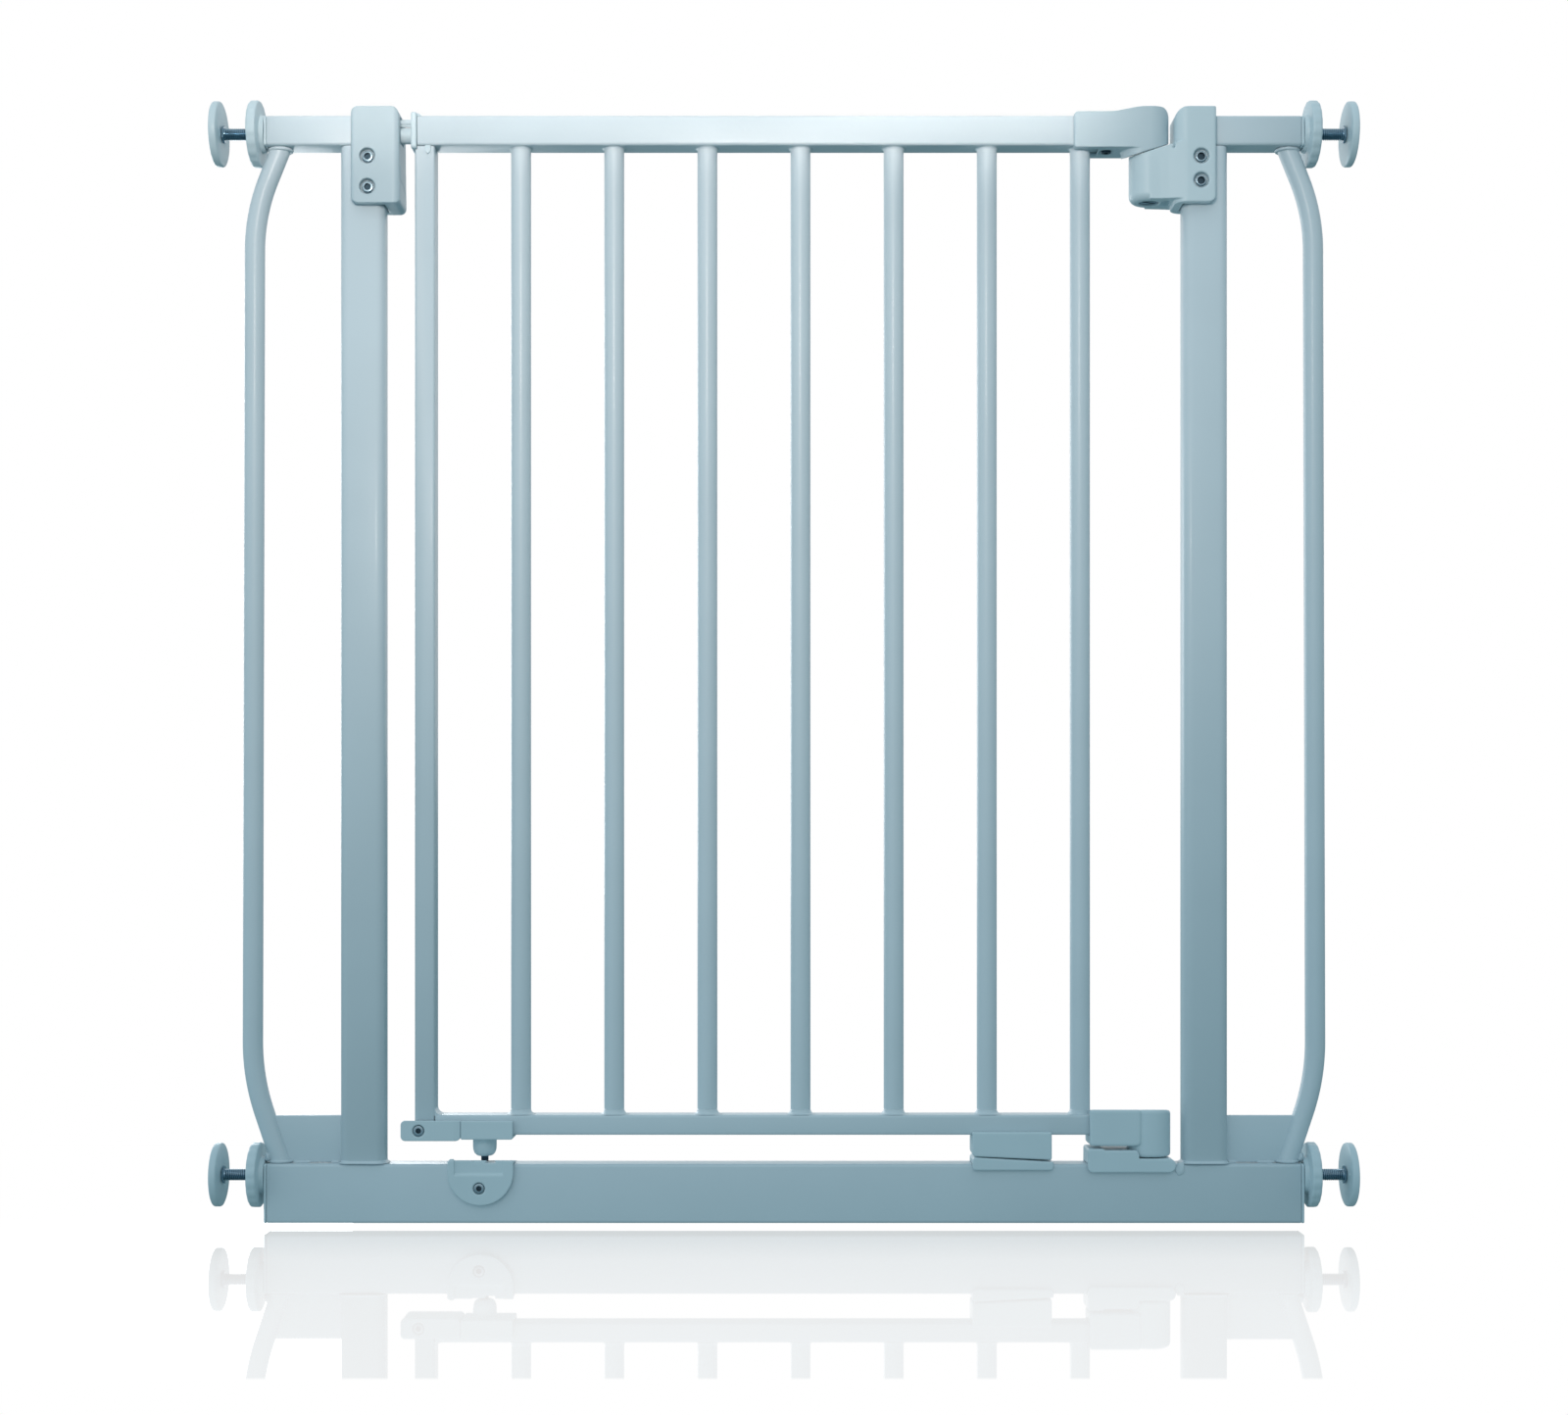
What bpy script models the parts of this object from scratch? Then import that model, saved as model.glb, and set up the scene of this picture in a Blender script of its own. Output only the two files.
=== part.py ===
"""A pressure-fit stair gate with its latch, as an assembly of separate pieces.

Metres, +Z up. X runs across the doorway, from the latch side (-X) to the hinge side (+X). The
viewer stands at -Y, the side that the leaf opens to. The origin is on the floor, under the middle of
the gate. The gate is modelled shut and latched.
"""

import math

import bmesh
import bpy
from mathutils import Matrix, Vector

MM = 0.001
CLEAR = 0.3 * MM            # gap between pieces that touch
WALL = 1.5 * MM             # wall of the frame's tubes
THIN_WALL = 1.2 * MM        # wall of the leaf's tubes

# Frame
RAIL_HALF = 351 * MM        # half length of the bottom rail, over its end caps
RAIL_DEPTH = 20 * MM
RAIL_HEIGHT = 40 * MM
CAP_FLANGE = 1.7 * MM
POST_X = 284.7 * MM         # middle of each post
POST_WIDTH = 30 * MM
POST_CORNER = 6 * MM
TOP_Z = 727.5 * MM          # underside of the top stubs and of the leaf's top rail
STUB = 20 * MM              # square section of the stubs and the top rail
SIDE_TUBE_R = 6.75 * MM
GUSSET_TOP = 72 * MM

# Hinge
HINGE_X = 247.4 * MM
BARREL_R = 13.4 * MM
KNUCKLE_SWEEP = 15.6 * MM   # room that the turning knuckles need round the axis
SKIN = 0.02 * MM            # keeps joined surfaces of one radius from coinciding
SLANT_Z = 726.4 * MM        # height of the upper hinge's slanted faces on the hinge axis
SLANT_RIGHT = 0.314         # how steeply they rise towards the post
SLANT_BACK = 0.237          # and towards the back
SLIDE_TRAVEL = 5 * MM       # how far the leaf slides into its knuckles

# Leaf
STILE_X = (-249.3 * MM, -235.8 * MM)
LEAF_TUBE = 13.5 * MM       # narrow side of the stile and the lower rail, and the bars' diameter
LEAF_DEPTH = 18 * MM
LEAF_RAIL_Z = 59.5 * MM
BAR_FIRST_X = -178.4 * MM
BAR_PITCH = 63.2 * MM
BAR_COUNT = 7
LAST_BAR_X = BAR_FIRST_X + BAR_PITCH * (BAR_COUNT - 1)

# Latch
HOUSING_X = (-291.5 * MM, -258.6 * MM)
HOUSING_SHOULDER = 4.6 * MM      # round between the housing's front and its inner wall
HOUSING_Z = (687 * MM, 752 * MM)
FITTING_HALF_DEPTH = 16 * MM
TONGUE_Z = 736.3 * MM
TONGUE_R = 5.3 * MM
TONGUE_REACH = 4 * MM       # how far the tongue stands in the keeper
FOOT_X = -203 * MM          # foot pin
LUG_X = -240.2 * MM         # lug of the end cap under the top rail
FOOT_PIN_R = 2.5 * MM

# Wall spindles
SPINDLE_UPPER_Z = TOP_Z + STUB / 2
SPINDLE_LOWER_Z = 31.7 * MM
ROD_R = 4 * MM
WHEEL_R = 22 * MM
WHEEL_X = (354.4 * MM, 361 * MM)
PAD_R = 21.5 * MM
PAD_X = (381 * MM, 386 * MM)

TOP_CHANNEL_Z = TOP_Z + STUB + CLEAR    # roof of the fittings that clasp a post and its stub


# Scene and materials

def clear_scene():
    """Removes what the scene holds."""
    for obj in list(bpy.data.objects):
        bpy.data.objects.remove(obj, do_unlink=True)


def new_collection(name):
    collection = bpy.data.collections.new(name)
    bpy.context.scene.collection.children.link(collection)
    return collection


def new_material(name, colour, roughness, metallic=0.0):
    """A Principled material in one colour."""
    material = bpy.data.materials.new(name)
    material.use_nodes = True
    shader = material.node_tree.nodes["Principled BSDF"]
    shader.inputs["Base Color"].default_value = (*colour, 1.0)
    shader.inputs["Roughness"].default_value = roughness
    shader.inputs["Metallic"].default_value = metallic
    return material


clear_scene()
GATE = new_collection("stair_gate")
CUTTERS = new_collection("cutters")
PAINT = new_material("painted_steel", (0.60, 0.71, 0.77), 0.4)
MOULDING = new_material("moulded_plastic", (0.58, 0.70, 0.76), 0.35)
ZINC = new_material("zinc_steel", (0.62, 0.66, 0.70), 0.3, 1.0)
DARK_STEEL = new_material("dark_steel", (0.09, 0.13, 0.17), 0.35, 1.0)
SPRING_STEEL = new_material("spring_steel", (0.45, 0.45, 0.46), 0.3, 1.0)


# Shapes

def new_object(name, mesh_maker, location, material):
    """An object whose mesh is in the bmesh given; with no material it is a cutter."""
    mesh = bpy.data.meshes.new(name)
    mesh_maker.to_mesh(mesh)
    mesh_maker.free()
    return adopt(name, mesh, location, material)


def adopt(name, mesh, location, material):
    """Puts a mesh in the gate, or among the cutters if it has no material."""
    obj = bpy.data.objects.new(name, mesh)
    obj.location = location
    if material:
        mesh.materials.append(material)
        GATE.objects.link(obj)
    else:
        obj.hide_render = True
        obj.display_type = "WIRE"
        CUTTERS.objects.link(obj)
    return obj


def round_edges(obj, radius, segments=2):
    """Rounds every sharp edge of an object."""
    bevel = obj.modifiers.new("edges", "BEVEL")
    bevel.width = radius
    bevel.segments = segments
    bevel.limit_method = "ANGLE"
    bevel.angle_limit = math.radians(40)
    return obj


def block(name, x, y, z, material=None, edge=0.0, segments=2):
    """A block between its limits along X, Y and Z."""
    low = Vector((x[0], y[0], z[0]))
    high = Vector((x[1], y[1], z[1]))
    maker = bmesh.new()
    bmesh.ops.create_cube(maker, size=1.0)
    bmesh.ops.scale(maker, vec=high - low, verts=maker.verts)
    obj = new_object(name, maker, (low + high) / 2, material)
    if edge:
        round_edges(obj, edge, segments)
    return obj


def box_tube(name, x, y, z, along, wall, corner, material):
    """A rectangular tube, open at both ends, along axis 0, 1 or 2."""
    low = Vector((x[0], y[0], z[0]))
    high = Vector((x[1], y[1], z[1]))
    maker = bmesh.new()
    bmesh.ops.create_cube(maker, size=1.0)
    bmesh.ops.scale(maker, vec=high - low, verts=maker.verts)
    ends = [face for face in maker.faces if abs(face.normal[along]) > 0.9]
    bmesh.ops.delete(maker, geom=ends, context="FACES_ONLY")
    long_edges = [
        edge for edge in maker.edges
        if abs((edge.verts[0].co - edge.verts[1].co).normalized()[along]) > 0.9
    ]
    bmesh.ops.bevel(maker, geom=long_edges, offset=corner, segments=3, profile=0.5, affect="EDGES")
    obj = new_object(name, maker, (low + high) / 2, material)
    skin = obj.modifiers.new("wall", "SOLIDIFY")
    skin.thickness = wall
    skin.offset = -1
    skin.use_even_offset = True
    return obj


def axis_turn(axis):
    """The rotation that takes local +Z to an axis."""
    return Vector((0, 0, 1)).rotation_difference(Vector(axis)).to_matrix().to_4x4()


def cylinder(name, foot, axis, radius, length, material=None, sides=24, top_radius=None):
    """A cylinder or cone that stands on foot and runs along an axis."""
    maker = bmesh.new()
    bmesh.ops.create_cone(
        maker, cap_ends=True, segments=sides, radius1=radius,
        radius2=radius if top_radius is None else top_radius, depth=length,
    )
    obj = new_object(name, maker, Vector(foot) + Vector(axis) * length / 2, material)
    obj.rotation_euler = axis_turn(axis).to_euler()
    smooth(obj)
    return obj


def smooth(obj, angle=35):
    """Shades an object smooth but for its sharp edges."""
    obj.data.shade_smooth()
    obj.data.set_sharp_from_angle(angle=math.radians(angle))


def turned(name, profile, foot, axis, material=None, steps=28):
    """Turns a profile of (radius, height) points about an axis through foot.

    The points run down the outer side. A profile that starts and ends on the axis is a solid; any
    other is closed into a ring.
    """
    maker = bmesh.new()
    points = [maker.verts.new((radius, 0, height)) for radius, height in profile]
    for upper, lower in zip(points, points[1:]):
        maker.edges.new((upper, lower))
    if profile[0][0] > 0:
        maker.edges.new((points[-1], points[0]))
    obj = new_object(name, maker, foot, material)
    obj.rotation_euler = axis_turn(axis).to_euler()
    screw = obj.modifiers.new("turn", "SCREW")
    screw.axis = "Z"
    screw.angle = math.tau
    screw.steps = steps
    screw.render_steps = steps
    screw.use_merge_vertices = True
    screw.merge_threshold = 0.00001
    screw.use_smooth_shade = True
    return obj


def from_curve(name, curve, location, rotation, material):
    """Makes a curve into a closed mesh object, its caps welded on."""
    guide = bpy.data.objects.new(name + "_guide", curve)
    guide.location = location
    guide.rotation_euler = rotation
    bpy.context.scene.collection.objects.link(guide)
    bpy.context.view_layer.update()
    evaluated = guide.evaluated_get(bpy.context.evaluated_depsgraph_get())
    mesh = bpy.data.meshes.new_from_object(evaluated)
    place = guide.matrix_world.copy()
    bpy.data.objects.remove(guide, do_unlink=True)
    bpy.data.curves.remove(curve)
    maker = bmesh.new()
    maker.from_mesh(mesh)
    bpy.data.meshes.remove(mesh)
    bmesh.ops.remove_doubles(maker, verts=maker.verts, dist=0.00001)
    bmesh.ops.recalc_face_normals(maker, faces=maker.faces)
    obj = new_object(name, maker, (0, 0, 0), material)
    obj.matrix_world = place
    return obj


def poly_curve(name, points, cyclic, dimensions):
    curve = bpy.data.curves.new(name, "CURVE")
    curve.dimensions = dimensions
    spline = curve.splines.new("POLY")
    spline.points.add(len(points) - 1)
    for target, point in zip(spline.points, points):
        target.co = (*point, 0, 1) if len(point) == 2 else (*point, 1)
    spline.use_cyclic_u = cyclic
    return curve


def front_outline(name, points, y, material=None):
    """An outline in X and Z, extruded between two Y limits."""
    curve = poly_curve(name, points, True, "2D")
    curve.fill_mode = "BOTH"
    curve.extrude = (y[1] - y[0]) / 2
    turn = (math.pi / 2, 0, 0)
    return from_curve(name, curve, (0, (y[0] + y[1]) / 2, 0), turn, material)


def plan_outline(name, points, z, material=None):
    """An outline in X and Y, extruded between two Z limits."""
    curve = poly_curve(name, points, True, "2D")
    curve.fill_mode = "BOTH"
    curve.extrude = (z[1] - z[0]) / 2
    return from_curve(name, curve, (0, 0, (z[0] + z[1]) / 2), (0, 0, 0), material)


def bent_tube(name, points, radius, material=None):
    """A round bar along a path, with flat ends."""
    curve = poly_curve(name, points, False, "3D")
    curve.bevel_depth = radius
    curve.bevel_resolution = 2
    curve.use_fill_caps = True
    obj = from_curve(name, curve, (0, 0, 0), (0, 0, 0), material)
    smooth(obj)
    return obj


def arc(centre, radius, start, end, steps):
    """Points on a circle between two angles in degrees, in the outline's own plane."""
    angles = [math.radians(start + (end - start) * i / steps) for i in range(steps + 1)]
    return [
        (centre[0] + radius * math.cos(angle), centre[1] + radius * math.sin(angle))
        for angle in angles
    ]


def combine(obj, tool, operation):
    boolean = obj.modifiers.new(tool.name, "BOOLEAN")
    boolean.operation = operation
    boolean.solver = "EXACT"
    boolean.object = tool
    return obj


def cut(obj, *tools):
    for tool in tools:
        combine(obj, tool, "DIFFERENCE")
    return obj


def join(obj, *tools):
    for tool in tools:
        combine(obj, tool, "UNION")
    return obj


def axis_empty(name, location, parent=None):
    """An empty on a joint's axis."""
    empty = bpy.data.objects.new(name, None)
    empty.empty_display_size = 0.02
    empty.location = location
    GATE.objects.link(empty)
    if parent:
        carry(parent, empty)
    return empty


def carry(parent, *children):
    """Parents objects and leaves them where they are."""
    bpy.context.view_layer.update()
    for child in children:
        child.parent = parent
        child.matrix_parent_inverse = parent.matrix_world.inverted()


# Fasteners

def hex_screw(name, head, axis, head_r, head_height, shank_r, length, socket_r):
    """A socket screw; head is the middle of the head's top, and axis points into the work."""
    top = [(0, 0), (head_r * 0.82, 0), (head_r, -head_height * 0.2), (head_r, -head_height)]
    shank = [(shank_r, -head_height), (shank_r, -length + shank_r * 0.5)]
    tip = [(shank_r * 0.6, -length), (0, -length)]
    outward = -Vector(axis)
    screw = turned(name, top + shank + tip, head, outward, ZINC, 18)
    sink = head_height * 0.65
    socket = cylinder(
        name + "_socket", Vector(head) - outward * sink, outward, socket_r, sink * 2, sides=6
    )
    return cut(screw, socket)


def counterbore(name, mouth, axis, bore_r, depth, hole_r, hole_length):
    """Cutters for a screw's counterbore and its hole; mouth is on the surface."""
    direction = Vector(axis)
    start = Vector(mouth) - direction * MM
    sink = cylinder(name + "_bore", start, direction, bore_r, depth + MM)
    hole = cylinder(name + "_hole", start, direction, hole_r, hole_length + MM, sides=16)
    return sink, hole


# Frame

def make_bottom_rail():
    half = RAIL_HALF - CAP_FLANGE - CLEAR
    depth = RAIL_DEPTH / 2
    rail = box_tube(
        "bottom_rail", (-half, half), (-depth, depth), (0, RAIL_HEIGHT), 0, WALL, 2 * MM, PAINT
    )
    return rail


def make_posts():
    depth = RAIL_DEPTH / 2
    posts = []
    for name, side in (("left_post", -1), ("right_post", 1)):
        middle = side * POST_X
        x = (middle - POST_WIDTH / 2, middle + POST_WIDTH / 2)
        z = (RAIL_HEIGHT + CLEAR, TOP_Z - CLEAR)
        posts.append(box_tube(name, x, (-depth, depth), z, 2, WALL, POST_CORNER, PAINT))
    return posts


def make_top_stubs():
    depth = STUB / 2
    outer = RAIL_HALF - CAP_FLANGE - CLEAR
    inner = POST_X - POST_WIDTH / 2
    z = (TOP_Z, TOP_Z + STUB)
    box_tube("left_top_stub", (-outer, -inner), (-depth, depth), z, 0, WALL, 2 * MM, PAINT)
    box_tube("right_top_stub", (inner, outer), (-depth, depth), z, 0, WALL, 2 * MM, PAINT)


def bowed_path(side):
    """The middle line of a side tube, from inside the top stub to inside the bottom rail."""
    upper_bend, upper_angle, upper_z = 130 * MM, 22, 658.5 * MM
    lower_bend, lower_angle, lower_z = 150 * MM, 18.5, 121.8 * MM
    upper_x, lower_x = 359.0 * MM, 360.4 * MM
    path = []
    centre = (upper_x - upper_bend, upper_z)
    bend = arc(centre, upper_bend, upper_angle, 0, 5)
    reach = (TOP_Z + 8 * MM - bend[0][1]) / math.cos(math.radians(upper_angle))
    lean = math.sin(math.radians(upper_angle))
    path.append((bend[0][0] - reach * lean, TOP_Z + 8 * MM))
    path += bend
    centre = (lower_x - lower_bend, lower_z)
    bend = arc(centre, lower_bend, 0, -lower_angle, 4)
    end_z = RAIL_HEIGHT - 8 * MM
    drop = (bend[-1][1] - end_z) * math.tan(math.radians(lower_angle))
    path += bend
    path.append((bend[-1][0] - drop, end_z))
    return [(side * x, 0, z) for x, z in path]


def make_side_tubes():
    for name, side in (("left_side_tube", -1), ("right_side_tube", 1)):
        path = bowed_path(side)
        tube = bent_tube(name, path, SIDE_TUBE_R, PAINT)
        bore = bent_tube(name + "_bore", path, SIDE_TUBE_R - THIN_WALL)
        x = (side * 345 * MM - 30 * MM, side * 345 * MM + 30 * MM)
        y = (-15 * MM, 15 * MM)
        above = block(name + "_top", x, y, (TOP_Z - CLEAR, TOP_Z + 30 * MM))
        below = block(name + "_end", x, y, (0, RAIL_HEIGHT + CLEAR))
        cut(tube, bore, above, below)


def make_gussets():
    """Low plates between each post and its side tube; their outer edge follows the tube."""
    inner = POST_X + POST_WIDTH / 2 + CLEAR
    base = RAIL_HEIGHT + CLEAR
    lean = math.tan(math.radians(18.5))
    foot = 333.1 * MM
    for name, side in (("left_gusset", -1), ("right_gusset", 1)):
        outline = [
            (inner, base), (foot, base), (foot + (GUSSET_TOP - base) * lean * 0.96, GUSSET_TOP),
            (inner, GUSSET_TOP),
        ]
        front_outline(name, [(side * x, z) for x, z in outline], (-2 * MM, 2 * MM), PAINT)


def make_tube_caps():
    """Caps in the four tube ends, each with a hole for its rod."""
    for level, low, high, rod_z in (
        ("upper", TOP_Z, TOP_Z + STUB, SPINDLE_UPPER_Z),
        ("lower", 0, RAIL_HEIGHT, SPINDLE_LOWER_Z),
    ):
        for hand, side in (("left", -1), ("right", 1)):
            name = f"{level}_{hand}_tube_cap"
            outer, inner = side * RAIL_HALF, side * (RAIL_HALF - CAP_FLANGE)
            half = RAIL_DEPTH / 2
            flange_x = (min(outer, inner), max(outer, inner))
            cap = block(name, flange_x, (-half, half), (low, high), MOULDING)
            end = side * (RAIL_HALF - 14 * MM)
            root = inner + side * 0.5 * MM
            plug_x = (min(end, root), max(end, root))
            inset = WALL + CLEAR
            plug_z = (low + inset, high - inset)
            plug = block(name + "_plug", plug_x, (-half + inset, half - inset), plug_z)
            start = (side * (RAIL_HALF - 20 * MM), 0, rod_z)
            hole = cylinder(name + "_hole", start, (side, 0, 0), ROD_R + 0.35 * MM, 25 * MM)
            cut(join(cap, plug), hole)


# Latch side of the frame

def post_channel(name, side):
    """Cutter for the post and stub that a fitting clasps."""
    inner = side * (POST_X - POST_WIDTH / 2 - CLEAR)
    outer = side * (POST_X + 40 * MM)
    half = RAIL_DEPTH / 2 + CLEAR
    x = (min(inner, outer), max(inner, outer))
    return block(name, x, (-half, half), (650 * MM, TOP_CHANNEL_Z))


def fit_post_screws(fitting, post, prefix, x, heights):
    """Two screws through a fitting's front wall into its post."""
    for label, z in zip(("upper", "lower"), heights):
        name = f"{prefix}_{label}_screw"
        mouth = (x, -FITTING_HALF_DEPTH, z)
        sink, hole = counterbore(name, mouth, (0, 1, 0), 5.2 * MM, 4 * MM, 2.3 * MM, 9 * MM)
        cut(fitting, sink, hole)
        cut(post, hole)
        head = (x, -FITTING_HALF_DEPTH + 1.4 * MM, z)
        hex_screw(name, head, (0, 1, 0), 3.8 * MM, 2.3 * MM, 2 * MM, 9 * MM, 2.2 * MM)


def make_keeper_housing(post):
    """The clamp on the latch post, with a socket for the tongue in its inner wall."""
    y = (-FITTING_HALF_DEPTH, FITTING_HALF_DEPTH)
    centre = (HOUSING_X[1] - HOUSING_SHOULDER, y[0] + HOUSING_SHOULDER)
    plan = [(HOUSING_X[0], y[0])] + arc(centre, HOUSING_SHOULDER, -90, 0, 5)
    plan += [(HOUSING_X[1], y[1]), (HOUSING_X[0], y[1])]
    housing = plan_outline("keeper_housing", plan, HOUSING_Z, MOULDING)
    round_edges(housing, 2.5 * MM, 3)
    face = HOUSING_X[1]
    pad_x = (face - 2 * MM, face + 1.2 * MM)
    pad = block("keeper_ramp_pad", pad_x, (-8 * MM, 8 * MM), (700 * MM, 717 * MM), edge=1 * MM)
    join(housing, pad)
    socket_x = (face - TONGUE_REACH - 1.5 * MM, face + 3 * MM)
    socket_z = (TONGUE_Z - 6.3 * MM, TONGUE_Z + 12.6 * MM)
    socket = block("keeper_socket", socket_x, (-6.2 * MM, 6.2 * MM), socket_z)
    cut(housing, post_channel("keeper_channel", -1), socket)
    fit_post_screws(housing, post, "keeper", -280.2 * MM, (718.6 * MM, 698.1 * MM))


def saddle_channel(name, x):
    """Cutter for the bottom rail under a fitting that sits astride it."""
    half = RAIL_DEPTH / 2 + CLEAR
    return block(name, x, (-half, half), (-5 * MM, RAIL_HEIGHT + CLEAR))


def make_lower_keeper(rail):
    """A half-round plate on the rail's face with a hook over the rail for the foot pin."""
    middle, radius = -204.5 * MM, 22.2 * MM
    top, centre_z = 42.7 * MM, 34.7 * MM
    front = -13.5 * MM
    outline = [(middle + radius, top), (middle - radius, top)]
    outline += arc((middle, centre_z), radius, 180, 360, 18)
    keeper = front_outline("lower_keeper", outline, (front, -front), MOULDING)
    x = (middle - radius - 5 * MM, middle + radius + 5 * MM)
    back = block("lower_keeper_back", x, (10 * MM, 20 * MM), (-5 * MM, 29 * MM))
    cut(keeper, saddle_channel("lower_keeper_channel", x), back)
    pocket_x = (-222 * MM, -189.3 * MM)
    pocket_y = (front - MM, front + 1.3 * MM)
    pocket = block("lower_keeper_pocket", pocket_x, pocket_y, (33.5 * MM, top + MM))
    gate_x = (FOOT_X + 1.7 * MM, FOOT_X + SLIDE_TRAVEL + 3.5 * MM)
    exit_z = (RAIL_HEIGHT + 0.5 * MM, top + MM)
    way_out = block("lower_keeper_exit", gate_x, (-20 * MM, 20 * MM), exit_z)
    slot_x = (FOOT_X - FOOT_PIN_R - 0.4 * MM, gate_x[1])
    slot = block("lower_keeper_slot", slot_x, (-2.9 * MM, 2.9 * MM), (30 * MM, top + MM))
    lip_x = (FOOT_X - 6 * MM, gate_x[1])
    lip = block("lower_keeper_lip", lip_x, (-20 * MM, -10.1 * MM), (41.2 * MM, top + MM))
    cut(keeper, pocket, way_out, slot, lip)
    name = "lower_keeper_screw"
    place = (-205.4 * MM, front, 23.9 * MM)
    sink, hole = counterbore(name, place, (0, 1, 0), 4 * MM, 1.9 * MM, 1.7 * MM, 8 * MM)
    cut(keeper, sink, hole)
    cut(rail, hole)
    head = (place[0], front + 0.3 * MM, place[2])
    hex_screw(name, head, (0, 1, 0), 3.5 * MM, 1.3 * MM, 1.4 * MM, 8 * MM, 1.7 * MM)


def make_rest_pair():
    """The wedge on the bottom rail and the block on the leaf that sits on it."""
    x = (127 * MM, 181.7 * MM)
    y = (-13 * MM, 13 * MM)
    bottom, high, low = 36 * MM, 44.9 * MM, 41.9 * MM
    outline = [(x[0], bottom), (x[1], bottom), (x[1], low), (x[0], high)]
    ramp = round_edges(front_outline("rest_ramp", outline, y, MOULDING), 1 * MM)
    cut(ramp, saddle_channel("rest_ramp_channel", (x[0] - MM, x[1] + MM)))
    top = 61.8 * MM
    right = x[1] - 1.3 * MM
    outline = [(x[0], high + 0.5 * MM), (right, low + 1.2 * MM), (right, top), (x[0], top)]
    rest = round_edges(front_outline("rest_block", outline, y, MOULDING), 1 * MM)
    half = LEAF_DEPTH / 2 + CLEAR
    span = (x[0] - MM, x[1] + MM)
    cut(rest, block("rest_block_channel", span, (-half, half), (LEAF_RAIL_Z - CLEAR, 80 * MM)))
    return rest


# Hinge side of the frame

def slanted_cutter(name, y_half, above, gap):
    """Everything above, or below, the slanted plane of the upper hinge."""
    reach = 60 * MM
    rise = reach * SLANT_RIGHT
    level = SLANT_Z + gap
    far = 90 * MM if above else -90 * MM
    left, right = (HINGE_X - reach, level - rise), (HINGE_X + reach, level + rise)
    outline = [left, right, (right[0], level + far), (left[0], level + far)]
    cutter = front_outline(name, outline, (-y_half, y_half))
    for vertex in cutter.data.vertices:
        vertex.co.y -= vertex.co.z * SLANT_BACK
    return cutter


def stadium(left, centre_x, radius, steps=14):
    """A plan outline: square at the left, half round about centre_x at the right."""
    return [(left, -radius)] + arc((centre_x, 0), radius, -90, 90, steps) + [(left, radius)]


def long_round(start_x, end_x, radius, steps=14):
    """A plan outline with half round ends about start_x and end_x."""
    return arc((start_x, 0), radius, 90, 270, steps) + arc((end_x, 0), radius, -90, 90, steps)


def make_hinge_bracket(post):
    """The clamp on the hinge post, with the lower barrel of the slanted hinge."""
    y = (-FITTING_HALF_DEPTH, FITTING_HALF_DEPTH)
    left, right = 263.2 * MM, 290.7 * MM
    top, bottom, round_r, foot_r = 752 * MM, 687.6 * MM, 11 * MM, 6 * MM
    outline = [(right, top)]
    outline += arc((left + round_r, top - round_r), round_r, 90, 180, 6)
    outline += [(left, bottom)]
    outline += arc((right - foot_r, bottom + foot_r), foot_r, -90, 0, 4)
    bracket = round_edges(front_outline("hinge_bracket", outline, y, MOULDING), 1.5 * MM)
    floor = 690.5 * MM
    barrel_top = SLANT_Z + 20 * MM
    barrel_z = (floor, barrel_top)
    ring = arc((HINGE_X, 0), BARREL_R, 90, 270, 14)
    ring += [(268 * MM, -BARREL_R), (268 * MM, BARREL_R)]
    barrel = plan_outline("hinge_bracket_barrel", ring, barrel_z)
    round_edges(barrel, 1.5 * MM)
    cut(barrel, slanted_cutter("hinge_bracket_slope", 20 * MM, True, -0.2 * MM))
    pin_hole = cylinder(
        "hinge_bracket_pin_hole", (HINGE_X, 0, 600 * MM), (0, 0, 1), 4.3 * MM, 200 * MM
    )
    head_bore = cylinder(
        "hinge_bracket_head_bore", (HINGE_X, 0, 680 * MM), (0, 0, 1), 6.9 * MM, 14 * MM
    )
    join(bracket, barrel)
    cut(bracket, post_channel("hinge_bracket_channel", 1), pin_hole, head_bore)
    fit_post_screws(bracket, post, "bracket", 280.6 * MM, (718.6 * MM, 702.4 * MM))


def make_lower_hinge_seat():
    """The fitting astride the bottom rail that the lower knuckle turns on."""
    left, right, bottom = 204.6 * MM, 264 * MM, 34.6 * MM
    low_top, high_top, nose, foot_r = 44 * MM, 49.6 * MM, 4.7 * MM, 3.5 * MM
    outline = arc((left + foot_r, bottom + foot_r), foot_r, 180, 270, 5)
    outline += arc((right - nose, bottom + nose), nose, -90, 90, 10)
    outline += [(242 * MM, low_top), (237.4 * MM, high_top), (left, high_top)]
    y = (-BARREL_R, BARREL_R)
    seat = round_edges(front_outline("lower_hinge_seat", outline, y, MOULDING), 0.8 * MM)
    span = (left - 2 * MM, 270 * MM)
    pocket = cylinder(
        "seat_pocket", (HINGE_X, 0, low_top), (0, 0, 1), KNUCKLE_SWEEP, 10 * MM, sides=36
    )
    hole = cylinder("seat_pin_hole", (HINGE_X, 0, 30 * MM), (0, 0, 1), 3.3 * MM, 30 * MM)
    cut(seat, saddle_channel("seat_channel", span), pocket, hole)


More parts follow.
